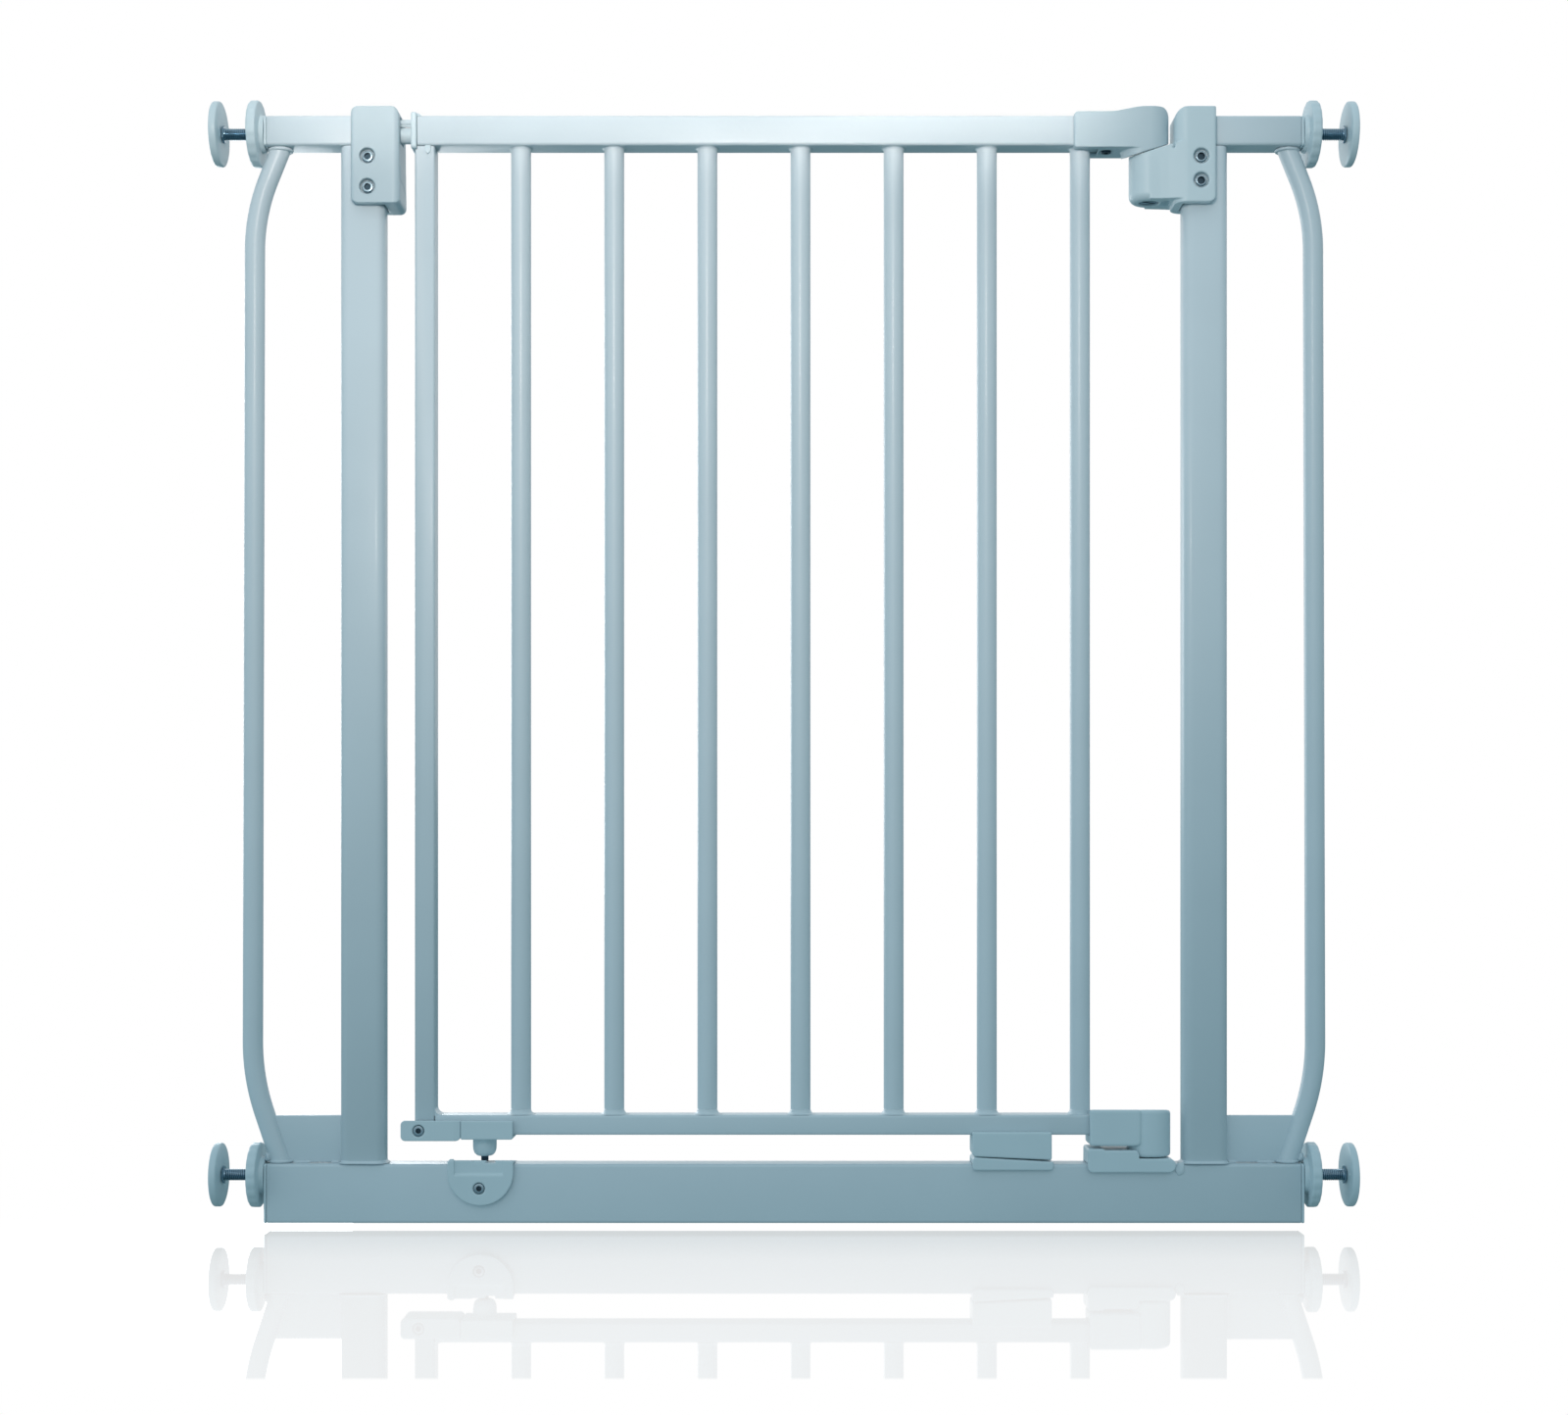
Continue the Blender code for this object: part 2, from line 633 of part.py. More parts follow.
def make_pivot_pins():
    """The hinge pins; the knuckles turn with them and slide up on them."""
    height = 52 * MM
    profile = [
        (0, height), (3 * MM, height), (4 * MM, height - MM), (4 * MM, 2.4 * MM),
        (6.5 * MM, 2.4 * MM), (6.5 * MM, 0.6 * MM), (5.9 * MM, 0), (0, 0),
    ]
    upper = turned("upper_pivot_pin", profile, (HINGE_X, 0, 691.2 * MM), (0, 0, 1), ZINC, 24)
    slot_x = (HINGE_X - 8 * MM, HINGE_X + 8 * MM)
    slot = block("pivot_pin_slot", slot_x, (-0.8 * MM, 0.8 * MM), (689 * MM, 692.3 * MM))
    cut(upper, slot)
    profile = [
        (0, 25 * MM), (2.2 * MM, 25 * MM), (3 * MM, 24.2 * MM), (3 * MM, 0.4 * MM),
        (2.6 * MM, 0), (0, 0),
    ]
    foot = (HINGE_X, 0, RAIL_HEIGHT + 0.6 * MM)
    lower = turned("lower_pivot_pin", profile, foot, (0, 0, 1), ZINC, 20)
    return upper, lower


# Knuckles on the leaf

def bar_slot(name, left, z):
    """Cutter that lets the last bar move with the leaf."""
    half = LEAF_TUBE / 2 + 0.35 * MM
    right = LAST_BAR_X + half + SLIDE_TRAVEL
    return block(name, (left - 5 * MM, right), (-half, half), z)


def make_upper_knuckle():
    """The moulding on the top rail; its barrel stands on the slanted face of the bracket."""
    left, under = 195.2 * MM, 724.5 * MM
    right = HINGE_X + BARREL_R
    outline = [(left, under), (right + MM, under)]
    outline += arc((right - 5 * MM, 748 * MM), 5 * MM, 10, 90, 4)
    outline += [(243 * MM, 753 * MM), (232 * MM, 751.6 * MM), (221 * MM, 750.3 * MM)]
    outline += [(left, 749.7 * MM)]
    knuckle = front_outline("upper_knuckle", outline, (-20 * MM, 20 * MM), MOULDING)
    ends = stadium(left - 5 * MM, HINGE_X, BARREL_R)
    plan = plan_outline("upper_knuckle_plan", ends, (700 * MM, 780 * MM))
    combine(knuckle, plan, "INTERSECT")
    boss = long_round(HINGE_X - 5.4 * MM, HINGE_X, BARREL_R - SKIN)
    join(knuckle, plan_outline("upper_knuckle_barrel", boss, (705 * MM, 737 * MM)))
    cut(knuckle, slanted_cutter("upper_knuckle_slope", 20 * MM, False, 0.2 * MM))
    half = STUB / 2 + CLEAR
    room_z = (TOP_Z - CLEAR, TOP_CHANNEL_Z)
    room = block("upper_knuckle_room", (left - 5 * MM, 236 * MM), (-half, half), room_z)
    slot = bar_slot("upper_knuckle_slot", left, (under - 5 * MM, TOP_Z))
    bore = cylinder("upper_knuckle_bore", (HINGE_X, 0, 690 * MM), (0, 0, 1), 4.3 * MM, 58 * MM)
    cut(knuckle, room, slot, bore)
    place = (218.5 * MM, 0, under)
    name = "upper_knuckle_screw"
    sink, hole = counterbore(name, place, (0, 0, 1), 3.8 * MM, 1.5 * MM, 2.1 * MM, 6 * MM)
    cut(knuckle, sink, hole)
    head = (place[0], 0, under + 0.1 * MM)
    screw = hex_screw(name, head, (0, 0, 1), 3.4 * MM, 1.1 * MM, 1.8 * MM, 8 * MM, 1.5 * MM)
    return knuckle, screw


def make_lower_knuckle():
    """The moulding on the lower rail; its barrel turns in the seat."""
    left, under, top = 206 * MM, 52.3 * MM, 77.1 * MM
    end = HINGE_X + 1.5 * MM
    outline = stadium(left, end, BARREL_R)
    knuckle = plan_outline("lower_knuckle", outline, (under, top), MOULDING)
    round_edges(knuckle, 1.5 * MM)
    foot = long_round(HINGE_X - 1.5 * MM, end, BARREL_R - SKIN)
    join(knuckle, plan_outline("lower_knuckle_foot", foot, (44.7 * MM, 56.7 * MM)))
    half = LEAF_DEPTH / 2 + CLEAR
    room_x = (left - 5 * MM, 233.2 * MM)
    room_z = (LEAF_RAIL_Z - CLEAR, LEAF_RAIL_Z + LEAF_TUBE + CLEAR)
    room = block("lower_knuckle_room", room_x, (-half, half), room_z)
    slot = bar_slot("lower_knuckle_slot", left, (LEAF_RAIL_Z + LEAF_TUBE, top + 5 * MM))
    bore = cylinder("lower_knuckle_bore", (HINGE_X, 0, 40 * MM), (0, 0, 1), 3.3 * MM, 32 * MM)
    dip_z = (top - 0.7 * MM, top + 5 * MM)
    dip = block("lower_knuckle_dip", (217 * MM, 235 * MM), (-20 * MM, 20 * MM), dip_z)
    cut(knuckle, room, slot, bore, dip)
    return knuckle


def make_slide_spring(name, start_x, end_x, z):
    """A coil spring between the end of a rail and the back of its knuckle, as one wire."""
    turns, per_turn, wire_r, coil_r = 4, 10, 0.6 * MM, 3.6 * MM
    count = turns * per_turn
    length = end_x - start_x - 2 * wire_r
    points = []
    for i in range(count + 1):
        angle = math.tau * i / per_turn
        x = start_x + wire_r + length * i / count
        points.append((x, coil_r * math.cos(angle), z + coil_r * math.sin(angle)))
    curve = poly_curve(name, points, False, "3D")
    curve.bevel_depth = wire_r
    curve.bevel_resolution = 0
    curve.use_fill_caps = True
    return from_curve(name, curve, (0, 0, 0), (0, 0, 0), SPRING_STEEL)


# Leaf

def make_rails_and_stile():
    depth = STUB / 2
    z = (TOP_Z, TOP_Z + STUB)
    x = (-247.5 * MM, 226 * MM)
    top = box_tube("top_rail", x, (-depth, depth), z, 0, THIN_WALL, 2 * MM, PAINT)
    slot_x = (218.5 * MM - 2.3 * MM - SLIDE_TRAVEL, 218.5 * MM + 2.3 * MM)
    slot = block("top_rail_slot", slot_x, (-2.3 * MM, 2.3 * MM), (TOP_Z - MM, TOP_Z + 4 * MM))
    lug_hole = cylinder("top_rail_lug_hole", (LUG_X, -6.4 * MM, 715 * MM), (0, 0, 1),
                        2.5 * MM, 16 * MM)
    cut(top, slot, lug_hole)
    half = LEAF_DEPTH / 2
    stile_z = (LEAF_RAIL_Z, TOP_Z - CLEAR)
    stile = box_tube("latch_stile", STILE_X, (-half, half), stile_z, 2, THIN_WALL, 1.8 * MM, PAINT)
    notch = cylinder("stile_notch", (LUG_X, -6.4 * MM, 719.5 * MM), (0, 0, 1),
                     3 * MM, 16 * MM)
    flange_room = block("stile_flange_room", (-260 * MM, -247.4 * MM), (-12 * MM, 12 * MM),
                        (TOP_Z - 2.8 * MM, TOP_Z + MM))
    cut(stile, notch, flange_room)
    x = (STILE_X[1] + CLEAR, 224 * MM)
    z = (LEAF_RAIL_Z, LEAF_RAIL_Z + LEAF_TUBE)
    lower = box_tube("leaf_bottom_rail", x, (-half, half), z, 0, THIN_WALL, 1.8 * MM, PAINT)
    return top, stile, lower


def make_bars():
    bars = []
    radius = LEAF_TUBE / 2
    foot = LEAF_RAIL_Z + LEAF_TUBE + CLEAR
    length = TOP_Z - CLEAR - foot
    for number in range(BAR_COUNT):
        x = BAR_FIRST_X + BAR_PITCH * number
        maker = bmesh.new()
        bmesh.ops.create_cone(
            maker, cap_ends=False, segments=20, radius1=radius, radius2=radius, depth=length
        )
        bar = new_object(f"bar_{number + 1}", maker, (x, 0, foot + length / 2), PAINT)
        smooth(bar)
        skin = bar.modifiers.new("wall", "SOLIDIFY")
        skin.thickness = THIN_WALL
        skin.offset = -1
        bars.append(bar)
    return bars


def make_latch_end():
    """The cap in the end of the top rail, and the tongue that it holds."""
    flange_x = (-251.5 * MM, -247.8 * MM)
    flange_z = (TOP_Z - 2.4 * MM, TOP_Z + STUB + 2.2 * MM)
    cap = block("latch_end_cap", flange_x, (-12 * MM, 12 * MM), flange_z, MOULDING, 1 * MM)
    half = STUB / 2 - THIN_WALL - CLEAR
    plug_z = (TOP_Z + THIN_WALL + CLEAR, TOP_Z + STUB - THIN_WALL - CLEAR)
    plug = block("end_cap_plug", (-248.5 * MM, -234 * MM), (-half, half), plug_z)
    lug = cylinder("end_cap_lug", (LUG_X, -6.4 * MM, 722.8 * MM), (0, 0, 1),
                   1.4 * MM, 1.2 * MM, sides=16, top_radius=2.1 * MM)
    lug_stem = cylinder("end_cap_lug_stem", (LUG_X, -6.4 * MM, 723.99 * MM), (0, 0, 1),
                        2.1 * MM, 8 * MM, sides=16)
    guide_start = (-249 * MM, 0, TONGUE_Z + 9.2 * MM)
    guide = cylinder("end_cap_guide", guide_start, (-1, 0, 0), 2.2 * MM, 12.5 * MM, sides=16)
    stem_hole = cylinder("end_cap_stem_hole", (-230 * MM, 0, TONGUE_Z), (-1, 0, 0), 3.3 * MM, 30 * MM)
    join(cap, plug, lug_stem, lug, guide)
    cut(cap, stem_hole)
    nose = HOUSING_X[1] - TONGUE_REACH
    start = -235.5 * MM
    reach = start - nose
    shoulder = start - (flange_x[0] - CLEAR)
    profile = [(0, reach), (2.2 * MM, reach - 0.25 * MM), (4.1 * MM, reach - 1.3 * MM),
               (TONGUE_R, reach - 3.4 * MM), (TONGUE_R, shoulder), (3 * MM, shoulder),
               (3 * MM, 0), (0, 0)]
    tongue = turned("latch_tongue", profile, (start, 0, TONGUE_Z), (-1, 0, 0), MOULDING, 20)
    return cap, tongue


def make_foot_latch(stile):
    """The clamp on the foot of the stile, the sleeve beside it and the pin in its boss."""
    y = (-13.2 * MM, 13.2 * MM)
    half = LEAF_DEPTH / 2 + CLEAR
    clamp = block("foot_clamp", (-258.2 * MM, -218 * MM), y, (55.8 * MM, 69.7 * MM), MOULDING, 2 * MM)
    room_z = (LEAF_RAIL_Z - CLEAR, 80 * MM)
    cut(clamp, block("foot_clamp_room", (STILE_X[0] - CLEAR, -200 * MM), (-half, half), room_z))
    name = "foot_clamp_screw"
    place = (-246.2 * MM, y[0], 62.7 * MM)
    sink, hole = counterbore(name, place, (0, 1, 0), 4 * MM, 1.9 * MM, 1.7 * MM, 8 * MM)
    cut(clamp, sink, hole)
    cut(stile, hole)
    head = (place[0], y[0] + 0.3 * MM, place[2])
    screw = hex_screw(name, head, (0, 1, 0), 3.5 * MM, 1.3 * MM, 1.4 * MM, 8 * MM, 1.7 * MM)
    sleeve = block("foot_sleeve", (-217.6 * MM, -182.7 * MM), y, (56.7 * MM, 69.4 * MM), MOULDING, MM)
    profile = [(0, 14 * MM), (8 * MM, 14 * MM), (8 * MM, 4.5 * MM), (7.3 * MM, 2 * MM),
               (5.2 * MM, 0.4 * MM), (3.8 * MM, 0), (0, 0)]
    boss = turned("foot_boss", profile, (FOOT_X, 0, 44.7 * MM), (0, 0, 1), None, 24)
    join(sleeve, boss)
    room = block("foot_sleeve_room", (-230 * MM, -170 * MM), (-half, half), room_z)
    bore_r = FOOT_PIN_R + CLEAR
    bore = cylinder("foot_sleeve_bore", (FOOT_X, 0, 40 * MM), (0, 0, 1), bore_r, 30 * MM)
    cut(sleeve, room, bore)
    profile = [(0, 18 * MM), (FOOT_PIN_R, 18 * MM), (FOOT_PIN_R, 0.4 * MM),
               (FOOT_PIN_R - 0.4 * MM, 0), (0, 0)]
    foot = (FOOT_X, 0, RAIL_HEIGHT + 0.9 * MM)
    pin = turned("foot_pin", profile, foot, (0, 0, 1), DARK_STEEL, 20)
    return clamp, screw, sleeve, pin


# Wall spindles

def make_spindle(tag, side, z):
    """A threaded rod with its wall pad, and the hand wheel that drives it."""
    outward = (side, 0, 0)
    rod_start, rod_end = 305 * MM, PAD_X[0] + 1.6 * MM
    length = rod_end - rod_start
    collar = PAD_X[0] - CLEAR - rod_start
    profile = [
        (0, length), (ROD_R, length), (ROD_R, collar), (6 * MM, collar),
        (6 * MM, collar - 1.4 * MM), (ROD_R, collar - 1.4 * MM), (ROD_R, MM),
        (ROD_R - MM, 0), (0, 0),
    ]
    rod = turned(f"threaded_rod_{tag}", profile, (side * rod_start, 0, z), outward, ZINC, 20)
    thick = PAD_X[1] - PAD_X[0]
    socket_r = ROD_R + CLEAR
    profile = [(0, thick)]
    profile += [(PAD_R - 1.8 * MM + x, thick - 1.8 * MM + h) for x, h in arc((0, 0), 1.8 * MM, 90, 0, 3)]
    profile += [(PAD_R, 1.2 * MM), (PAD_R - 1.2 * MM, 0), (socket_r, 0), (socket_r, 2 * MM), (0, 2 * MM)]
    pad = turned(f"wall_pad_{tag}", profile, (side * PAD_X[0], 0, z), outward, MOULDING)
    start = RAIL_HALF + CLEAR
    rim_low, rim_high = WHEEL_X[0] - start, WHEEL_X[1] - start
    bore = ROD_R + CLEAR
    profile = [
        (bore, rim_high), (WHEEL_R - 1.6 * MM, rim_high), (WHEEL_R, rim_high - 1.6 * MM),
        (WHEEL_R, rim_low + 1.2 * MM), (WHEEL_R - 1.2 * MM, rim_low), (13 * MM, rim_low),
        (12 * MM, 0), (bore, 0),
    ]
    wheel = turned(f"hand_wheel_{tag}", profile, (side * start, 0, z), outward, MOULDING)
    axis = axis_empty(f"spindle_axis_{tag}", (side * start, 0, z))
    carry(axis, rod, pad, wheel)


def build_gate():
    rail = make_bottom_rail()
    left_post, right_post = make_posts()
    make_top_stubs()
    make_side_tubes()
    make_gussets()
    make_tube_caps()
    make_keeper_housing(left_post)
    make_lower_keeper(rail)
    rest_block = make_rest_pair()
    make_hinge_bracket(right_post)
    make_lower_hinge_seat()
    pins = make_pivot_pins()
    upper_knuckle, knuckle_screw = make_upper_knuckle()
    lower_knuckle = make_lower_knuckle()
    springs = [
        make_slide_spring("upper_slide_spring", 226.3 * MM, 235.7 * MM, TOP_Z + STUB / 2),
        make_slide_spring(
            "lower_slide_spring", 224.3 * MM, 232.9 * MM, LEAF_RAIL_Z + LEAF_TUBE / 2
        ),
    ]
    top_rail, stile, lower_rail = make_rails_and_stile()
    bars = make_bars()
    latch_end = make_latch_end()
    foot_latch = make_foot_latch(stile)
    swing_axis = axis_empty("swing_axis", (HINGE_X, 0, 0))
    slide_axis = axis_empty("leaf_slide_axis", (HINGE_X, 0, TOP_Z), swing_axis)
    carry(swing_axis, *pins, upper_knuckle, knuckle_screw, lower_knuckle, *springs)
    carry(slide_axis, top_rail, stile, lower_rail, *bars, *latch_end, *foot_latch, rest_block)
    for tag, side, z in (
        ("upper_left", -1, SPINDLE_UPPER_Z), ("upper_right", 1, SPINDLE_UPPER_Z),
        ("lower_left", -1, SPINDLE_LOWER_Z), ("lower_right", 1, SPINDLE_LOWER_Z),
    ):
        make_spindle(tag, side, z)


build_gate()
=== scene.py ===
"""Looks for the pressure-fit stair gate: the visible pieces, their materials, light and camera.

The frame is the CAD's own: +X towards the hinge side, -Y towards the viewer, +Z up. Shapes are
written in millimetres, and new_object turns them into metres. The stage is written in metres.
"""

import math

import bmesh
import bpy
from mathutils import Matrix, Vector, noise


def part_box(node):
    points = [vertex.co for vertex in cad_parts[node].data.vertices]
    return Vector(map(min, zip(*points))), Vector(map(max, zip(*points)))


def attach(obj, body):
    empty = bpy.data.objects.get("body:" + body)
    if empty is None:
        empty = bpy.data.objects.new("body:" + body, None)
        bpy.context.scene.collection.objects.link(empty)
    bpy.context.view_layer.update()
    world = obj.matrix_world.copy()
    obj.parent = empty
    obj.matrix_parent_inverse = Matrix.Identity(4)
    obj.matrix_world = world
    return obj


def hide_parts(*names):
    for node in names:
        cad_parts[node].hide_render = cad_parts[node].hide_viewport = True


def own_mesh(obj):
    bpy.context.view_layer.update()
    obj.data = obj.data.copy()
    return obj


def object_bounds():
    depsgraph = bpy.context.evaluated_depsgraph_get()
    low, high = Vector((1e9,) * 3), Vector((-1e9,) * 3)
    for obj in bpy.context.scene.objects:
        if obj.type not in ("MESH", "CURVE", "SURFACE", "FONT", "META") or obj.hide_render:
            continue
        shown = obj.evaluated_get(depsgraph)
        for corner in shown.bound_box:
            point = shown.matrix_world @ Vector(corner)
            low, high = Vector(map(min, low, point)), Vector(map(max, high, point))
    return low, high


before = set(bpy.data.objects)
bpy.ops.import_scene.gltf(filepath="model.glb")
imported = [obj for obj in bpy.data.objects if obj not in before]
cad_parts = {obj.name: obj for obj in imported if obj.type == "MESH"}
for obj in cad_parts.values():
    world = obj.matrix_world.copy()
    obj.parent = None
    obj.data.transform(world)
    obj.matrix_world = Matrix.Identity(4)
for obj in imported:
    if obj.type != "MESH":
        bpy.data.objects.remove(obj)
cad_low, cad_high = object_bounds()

MM = 0.001
X, Y, Z = Vector((1, 0, 0)), Vector((0, 1, 0)), Vector((0, 0, 1))
SIDES = (("left", -1), ("right", 1))

VOXEL = 0.42                # grain of the larger mouldings' meshes
FIT = 0.3                   # room round a tube inside a fitting
FRAME_WALL = 1.5
LEAF_WALL = 1.2
PIN_BORE, LOWER_PIN_BORE = 4.3, 3.3
FOOT_LEAN = 18.5            # lean of a side tube's lower end, in degrees
THREAD_R, PITCH = 3.95, 1.25

HINGE_X, BARREL_R = 247.4, 13.4
SLANT_Z = 726.4             # height of the slanted faces on the hinge's axis
SLANT_RIGHT, SLANT_BACK = 0.314, 0.237
HINGE_FIT = 0.2             # half the gap between the slanted faces

SCENE = bpy.context.scene
WORK = bpy.data.collections.new("work")
SCENE.collection.children.link(WORK)


# Materials

def shader_material(name, colour, roughness, metallic=0.0, coat=0.0):
    material = bpy.data.materials.new(name)
    material.use_nodes = True
    shader = material.node_tree.nodes["Principled BSDF"]
    shader.inputs["Base Color"].default_value = (*colour, 1)
    shader.inputs["Roughness"].default_value = roughness
    shader.inputs["Metallic"].default_value = metallic
    shader.inputs["Coat Weight"].default_value = coat
    shader.inputs["Coat Roughness"].default_value = 0.12
    shader.inputs["Specular IOR Level"].default_value = 0.4
    return material, material.node_tree, shader


def add_node(tree, kind, **settings):
    node = tree.nodes.new(kind)
    for name, value in settings.items():
        if name in node.inputs:
            node.inputs[name].default_value = value
        else:
            setattr(node, name, value)
    return node


def wire(tree, *links):
    """Makes links in a shader tree, each given as (node, output, node, input)."""
    for source, output, target, entry in links:
        tree.links.new(source.outputs[output], target.inputs[entry])


def noise_value(tree, scale, detail=2.0, roughness=0.5, stretch=None):
    """A noise in object space; the pieces' object space is the gate's own."""
    place = add_node(tree, "ShaderNodeTexCoord")
    texture = add_node(tree, "ShaderNodeTexNoise", Scale=scale, Detail=detail, Roughness=roughness)
    if stretch:
        mapping = add_node(tree, "ShaderNodeMapping", Scale=stretch)
        wire(tree, (place, "Object", mapping, "Vector"), (mapping, "Vector", texture, "Vector"))
    else:
        wire(tree, (place, "Object", texture, "Vector"))
    return texture.outputs["Fac"]


def spread(tree, value, low, high):
    """Maps the middle part of a texture value's range onto another range."""
    mapped = add_node(tree, "ShaderNodeMapRange")
    for name, number in (("From Min", 0.3), ("From Max", 0.7), ("To Min", low), ("To Max", high)):
        mapped.inputs[name].default_value = number
    tree.links.new(value, mapped.inputs["Value"])
    return mapped.outputs["Result"]


def vary_colour(tree, shader, colour, value, amount):
    """Lets a texture value shade the base colour a little each way."""
    mix = add_node(tree, "ShaderNodeMix", data_type="RGBA")
    dark = [channel * (1 - amount) for channel in colour]
    light = [min(1.0, channel * (1 + amount)) for channel in colour]
    mix.inputs[6].default_value = (*dark, 1)
    mix.inputs[7].default_value = (*light, 1)
    tree.links.new(spread(tree, value, 0, 1), mix.inputs[0])
    wire(tree, (mix, 2, shader, "Base Color"))


def relief(tree, shader, layers):
    """Stacks bumps of (height value, strength, distance in metres)."""
    normal = None
    for value, strength, distance in layers:
        bump = add_node(tree, "ShaderNodeBump", Strength=strength, Distance=distance)
        tree.links.new(value, bump.inputs["Height"])
        if normal:
            tree.links.new(normal, bump.inputs["Normal"])
        normal = bump.outputs["Normal"]
    tree.links.new(normal, shader.inputs["Normal"])


def powder_coat(name, colour):
    """Powder coat: satin, with a slight orange peel and a faint cloudiness."""
    material, tree, shader = shader_material(name, colour, 0.38, coat=0.06)
    vary_colour(tree, shader, colour, noise_value(tree, 14, 3), 0.02)
    fine = noise_value(tree, 900, 3)
    tree.links.new(spread(tree, fine, 0.34, 0.46), shader.inputs["Roughness"])
    peel = noise_value(tree, 420, 2)
    relief(tree, shader, [(peel, 0.10, 0.4 * MM), (fine, 0.05, 0.1 * MM)])
    return material


def moulding(name, colour, grain=0.12, roughness=(0.34, 0.46)):
    """Injection moulding: a fine spark-eroded grain over a soft flow of colour."""
    material, tree, shader = shader_material(name, colour, 0.4)
    vary_colour(tree, shader, colour, noise_value(tree, 30, 2), 0.015)
    fine = noise_value(tree, 2600, 3, 0.6)
    tree.links.new(spread(tree, fine, *roughness), shader.inputs["Roughness"])
    swell = noise_value(tree, 120, 1)
    relief(tree, shader, [(swell, 0.05, 0.5 * MM), (fine, grain, 0.06 * MM)])
    return material


def plated(name, colour, roughness, streak=(1, 1, 1)):
    """Plated steel with fine tool marks along one direction."""
    material, tree, shader = shader_material(name, colour, roughness, 1.0)
    marks = noise_value(tree, 1800, 3, 0.6, streak)
    uneven = spread(tree, marks, roughness * 0.7, roughness * 1.5)
    tree.links.new(uneven, shader.inputs["Roughness"])
    vary_colour(tree, shader, colour, noise_value(tree, 260, 3), 0.12)
    relief(tree, shader, [(marks, 0.12, 0.04 * MM)])
    return material


PAINT = powder_coat("powder_coat", (0.66, 0.735, 0.775))
PLASTIC = moulding("moulded_nylon", (0.64, 0.745, 0.785))
# A darker copy of the nylon for the keeper housing and the upper knuckle: painted shade, for the
# light that falls less on them
PAINTED_SHADE_PLASTIC = moulding("moulded_nylon_painted_shade", (0.53, 0.63, 0.675))
PAD_FACE = moulding("pad_face", (0.50, 0.58, 0.61), 0.3, (0.55, 0.7))
ZINC = plated("zinc_plate", (0.20, 0.31, 0.39), 0.17, (0.15, 1, 1))
SCREW = plated("screw_steel", (0.25, 0.35, 0.41), 0.34)
# Near black for the walls and floor of hex sockets: painted shade, where the light doesn't reach
# in
SOCKET_SHADE = plated("socket_shadow", (0.035, 0.06, 0.08), 0.35)
DARK = plated("blued_steel", (0.05, 0.08, 0.11), 0.3, (1, 1, 0.2))
SPRING = plated("spring_wire", (0.42, 0.43, 0.44), 0.25)


# Meshes

def box(node):
    """A node's lowest and highest corners in millimetres."""
    low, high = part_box(node)
    return low / MM, high / MM


def middle(node):
    low, high = box(node)
    return (low + high) / 2


def new_object(name, maker):
    """Turns millimetres into metres and a bmesh into an object."""
    mesh = bpy.data.meshes.new(name)
    bmesh.ops.recalc_face_normals(maker, faces=maker.faces)
    bmesh.ops.scale(maker, vec=(MM, MM, MM), verts=maker.verts)
    maker.to_mesh(mesh)
    maker.free()
    obj = bpy.data.objects.new(name, mesh)
    WORK.objects.link(obj)
    return obj


def skin(name, rings, loop=False):
    """A surface over rings of points; a ring may be one point. With loop, the last ring is tied to
    the first; otherwise both ends are closed."""
    maker = bmesh.new()
    rings = [[maker.verts.new(point) for point in ring] for ring in rings]
    pairs = list(zip(rings, rings[1:]))
    if loop:
        pairs.append((rings[-1], rings[0]))
    for a, b in pairs:
        count = max(len(a), len(b))
        for i in range(count):
            j = (i + 1) % count
            quad = (a[i % len(a)], a[j % len(a)], b[j % len(b)], b[i % len(b)])
            maker.faces.new(list(dict.fromkeys(quad)))
    if not loop:
        for ring in (rings[0], rings[-1]):
            if len(ring) > 2:
                maker.faces.new(ring)
    return new_object(name, maker)


def bake(obj):
    """Applies an object's modifiers."""
    bpy.context.view_layer.update()
    evaluated = obj.evaluated_get(bpy.context.evaluated_depsgraph_get())
    mesh = bpy.data.meshes.new_from_object(evaluated)
    obj.modifiers.clear()
    old = obj.data
    obj.data = mesh
    bpy.data.meshes.remove(old)
    return obj


def modify(obj, kind, **settings):
    modifier = obj.modifiers.new(kind.lower(), kind)
    for name, value in settings.items():
        setattr(modifier, name, value)


def bevel(obj, width, segments=4, limit=math.radians(30)):
    """Rounds the edges that are sharper than limit."""
    modify(obj, "BEVEL", width=width * MM, segments=segments, limit_method="ANGLE",
           angle_limit=limit)
    return bake(obj)


def combine(obj, operation, tools):
    """Adds, cuts or intersects, and removes the tools."""
    for tool in tools:
        modify(obj, "BOOLEAN", operation=operation, solver="EXACT", object=tool)
    bake(obj)
    for tool in tools:
        bpy.data.objects.remove(tool, do_unlink=True)
    return obj


def cut(obj, *tools):
    return combine(obj, "DIFFERENCE", tools)


def join(obj, *tools):
    return combine(obj, "UNION", tools)


def meet(obj, *tools):
    return combine(obj, "INTERSECT", tools)


def soften(obj, voxel=VOXEL, rounds=6):
    """Melts a moulding's edges together: a voxel skin, then a few rounds of smoothing."""
    modify(obj, "REMESH", mode="VOXEL", voxel_size=voxel * MM, adaptivity=0, use_smooth_shade=True)
    modify(obj, "SMOOTH", factor=0.5, iterations=rounds)
    return bake(obj)


def finish(obj, name, material, body, node=None, angle=None):
    """Names a piece, shades it, and hands it to its CAD body in place of its node."""
    obj.name = name
    obj.data.name = name
    obj.data.materials.clear()
    obj.data.materials.append(material)
    obj.data.shade_smooth()
    if angle:
        obj.data.set_sharp_from_angle(angle=math.radians(angle))
    WORK.objects.unlink(obj)
    SCENE.collection.objects.link(obj)
    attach(obj, body)
    if node:
        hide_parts(node)
    return obj


def painted(obj, name, body="root", node=None, angle=None):
    return finish(obj, name, PAINT, body, node, angle)


def moulded(obj, node, body="root", angle=None, material=PLASTIC):
    return finish(obj, f"{node}_moulding", material, body, node, angle)


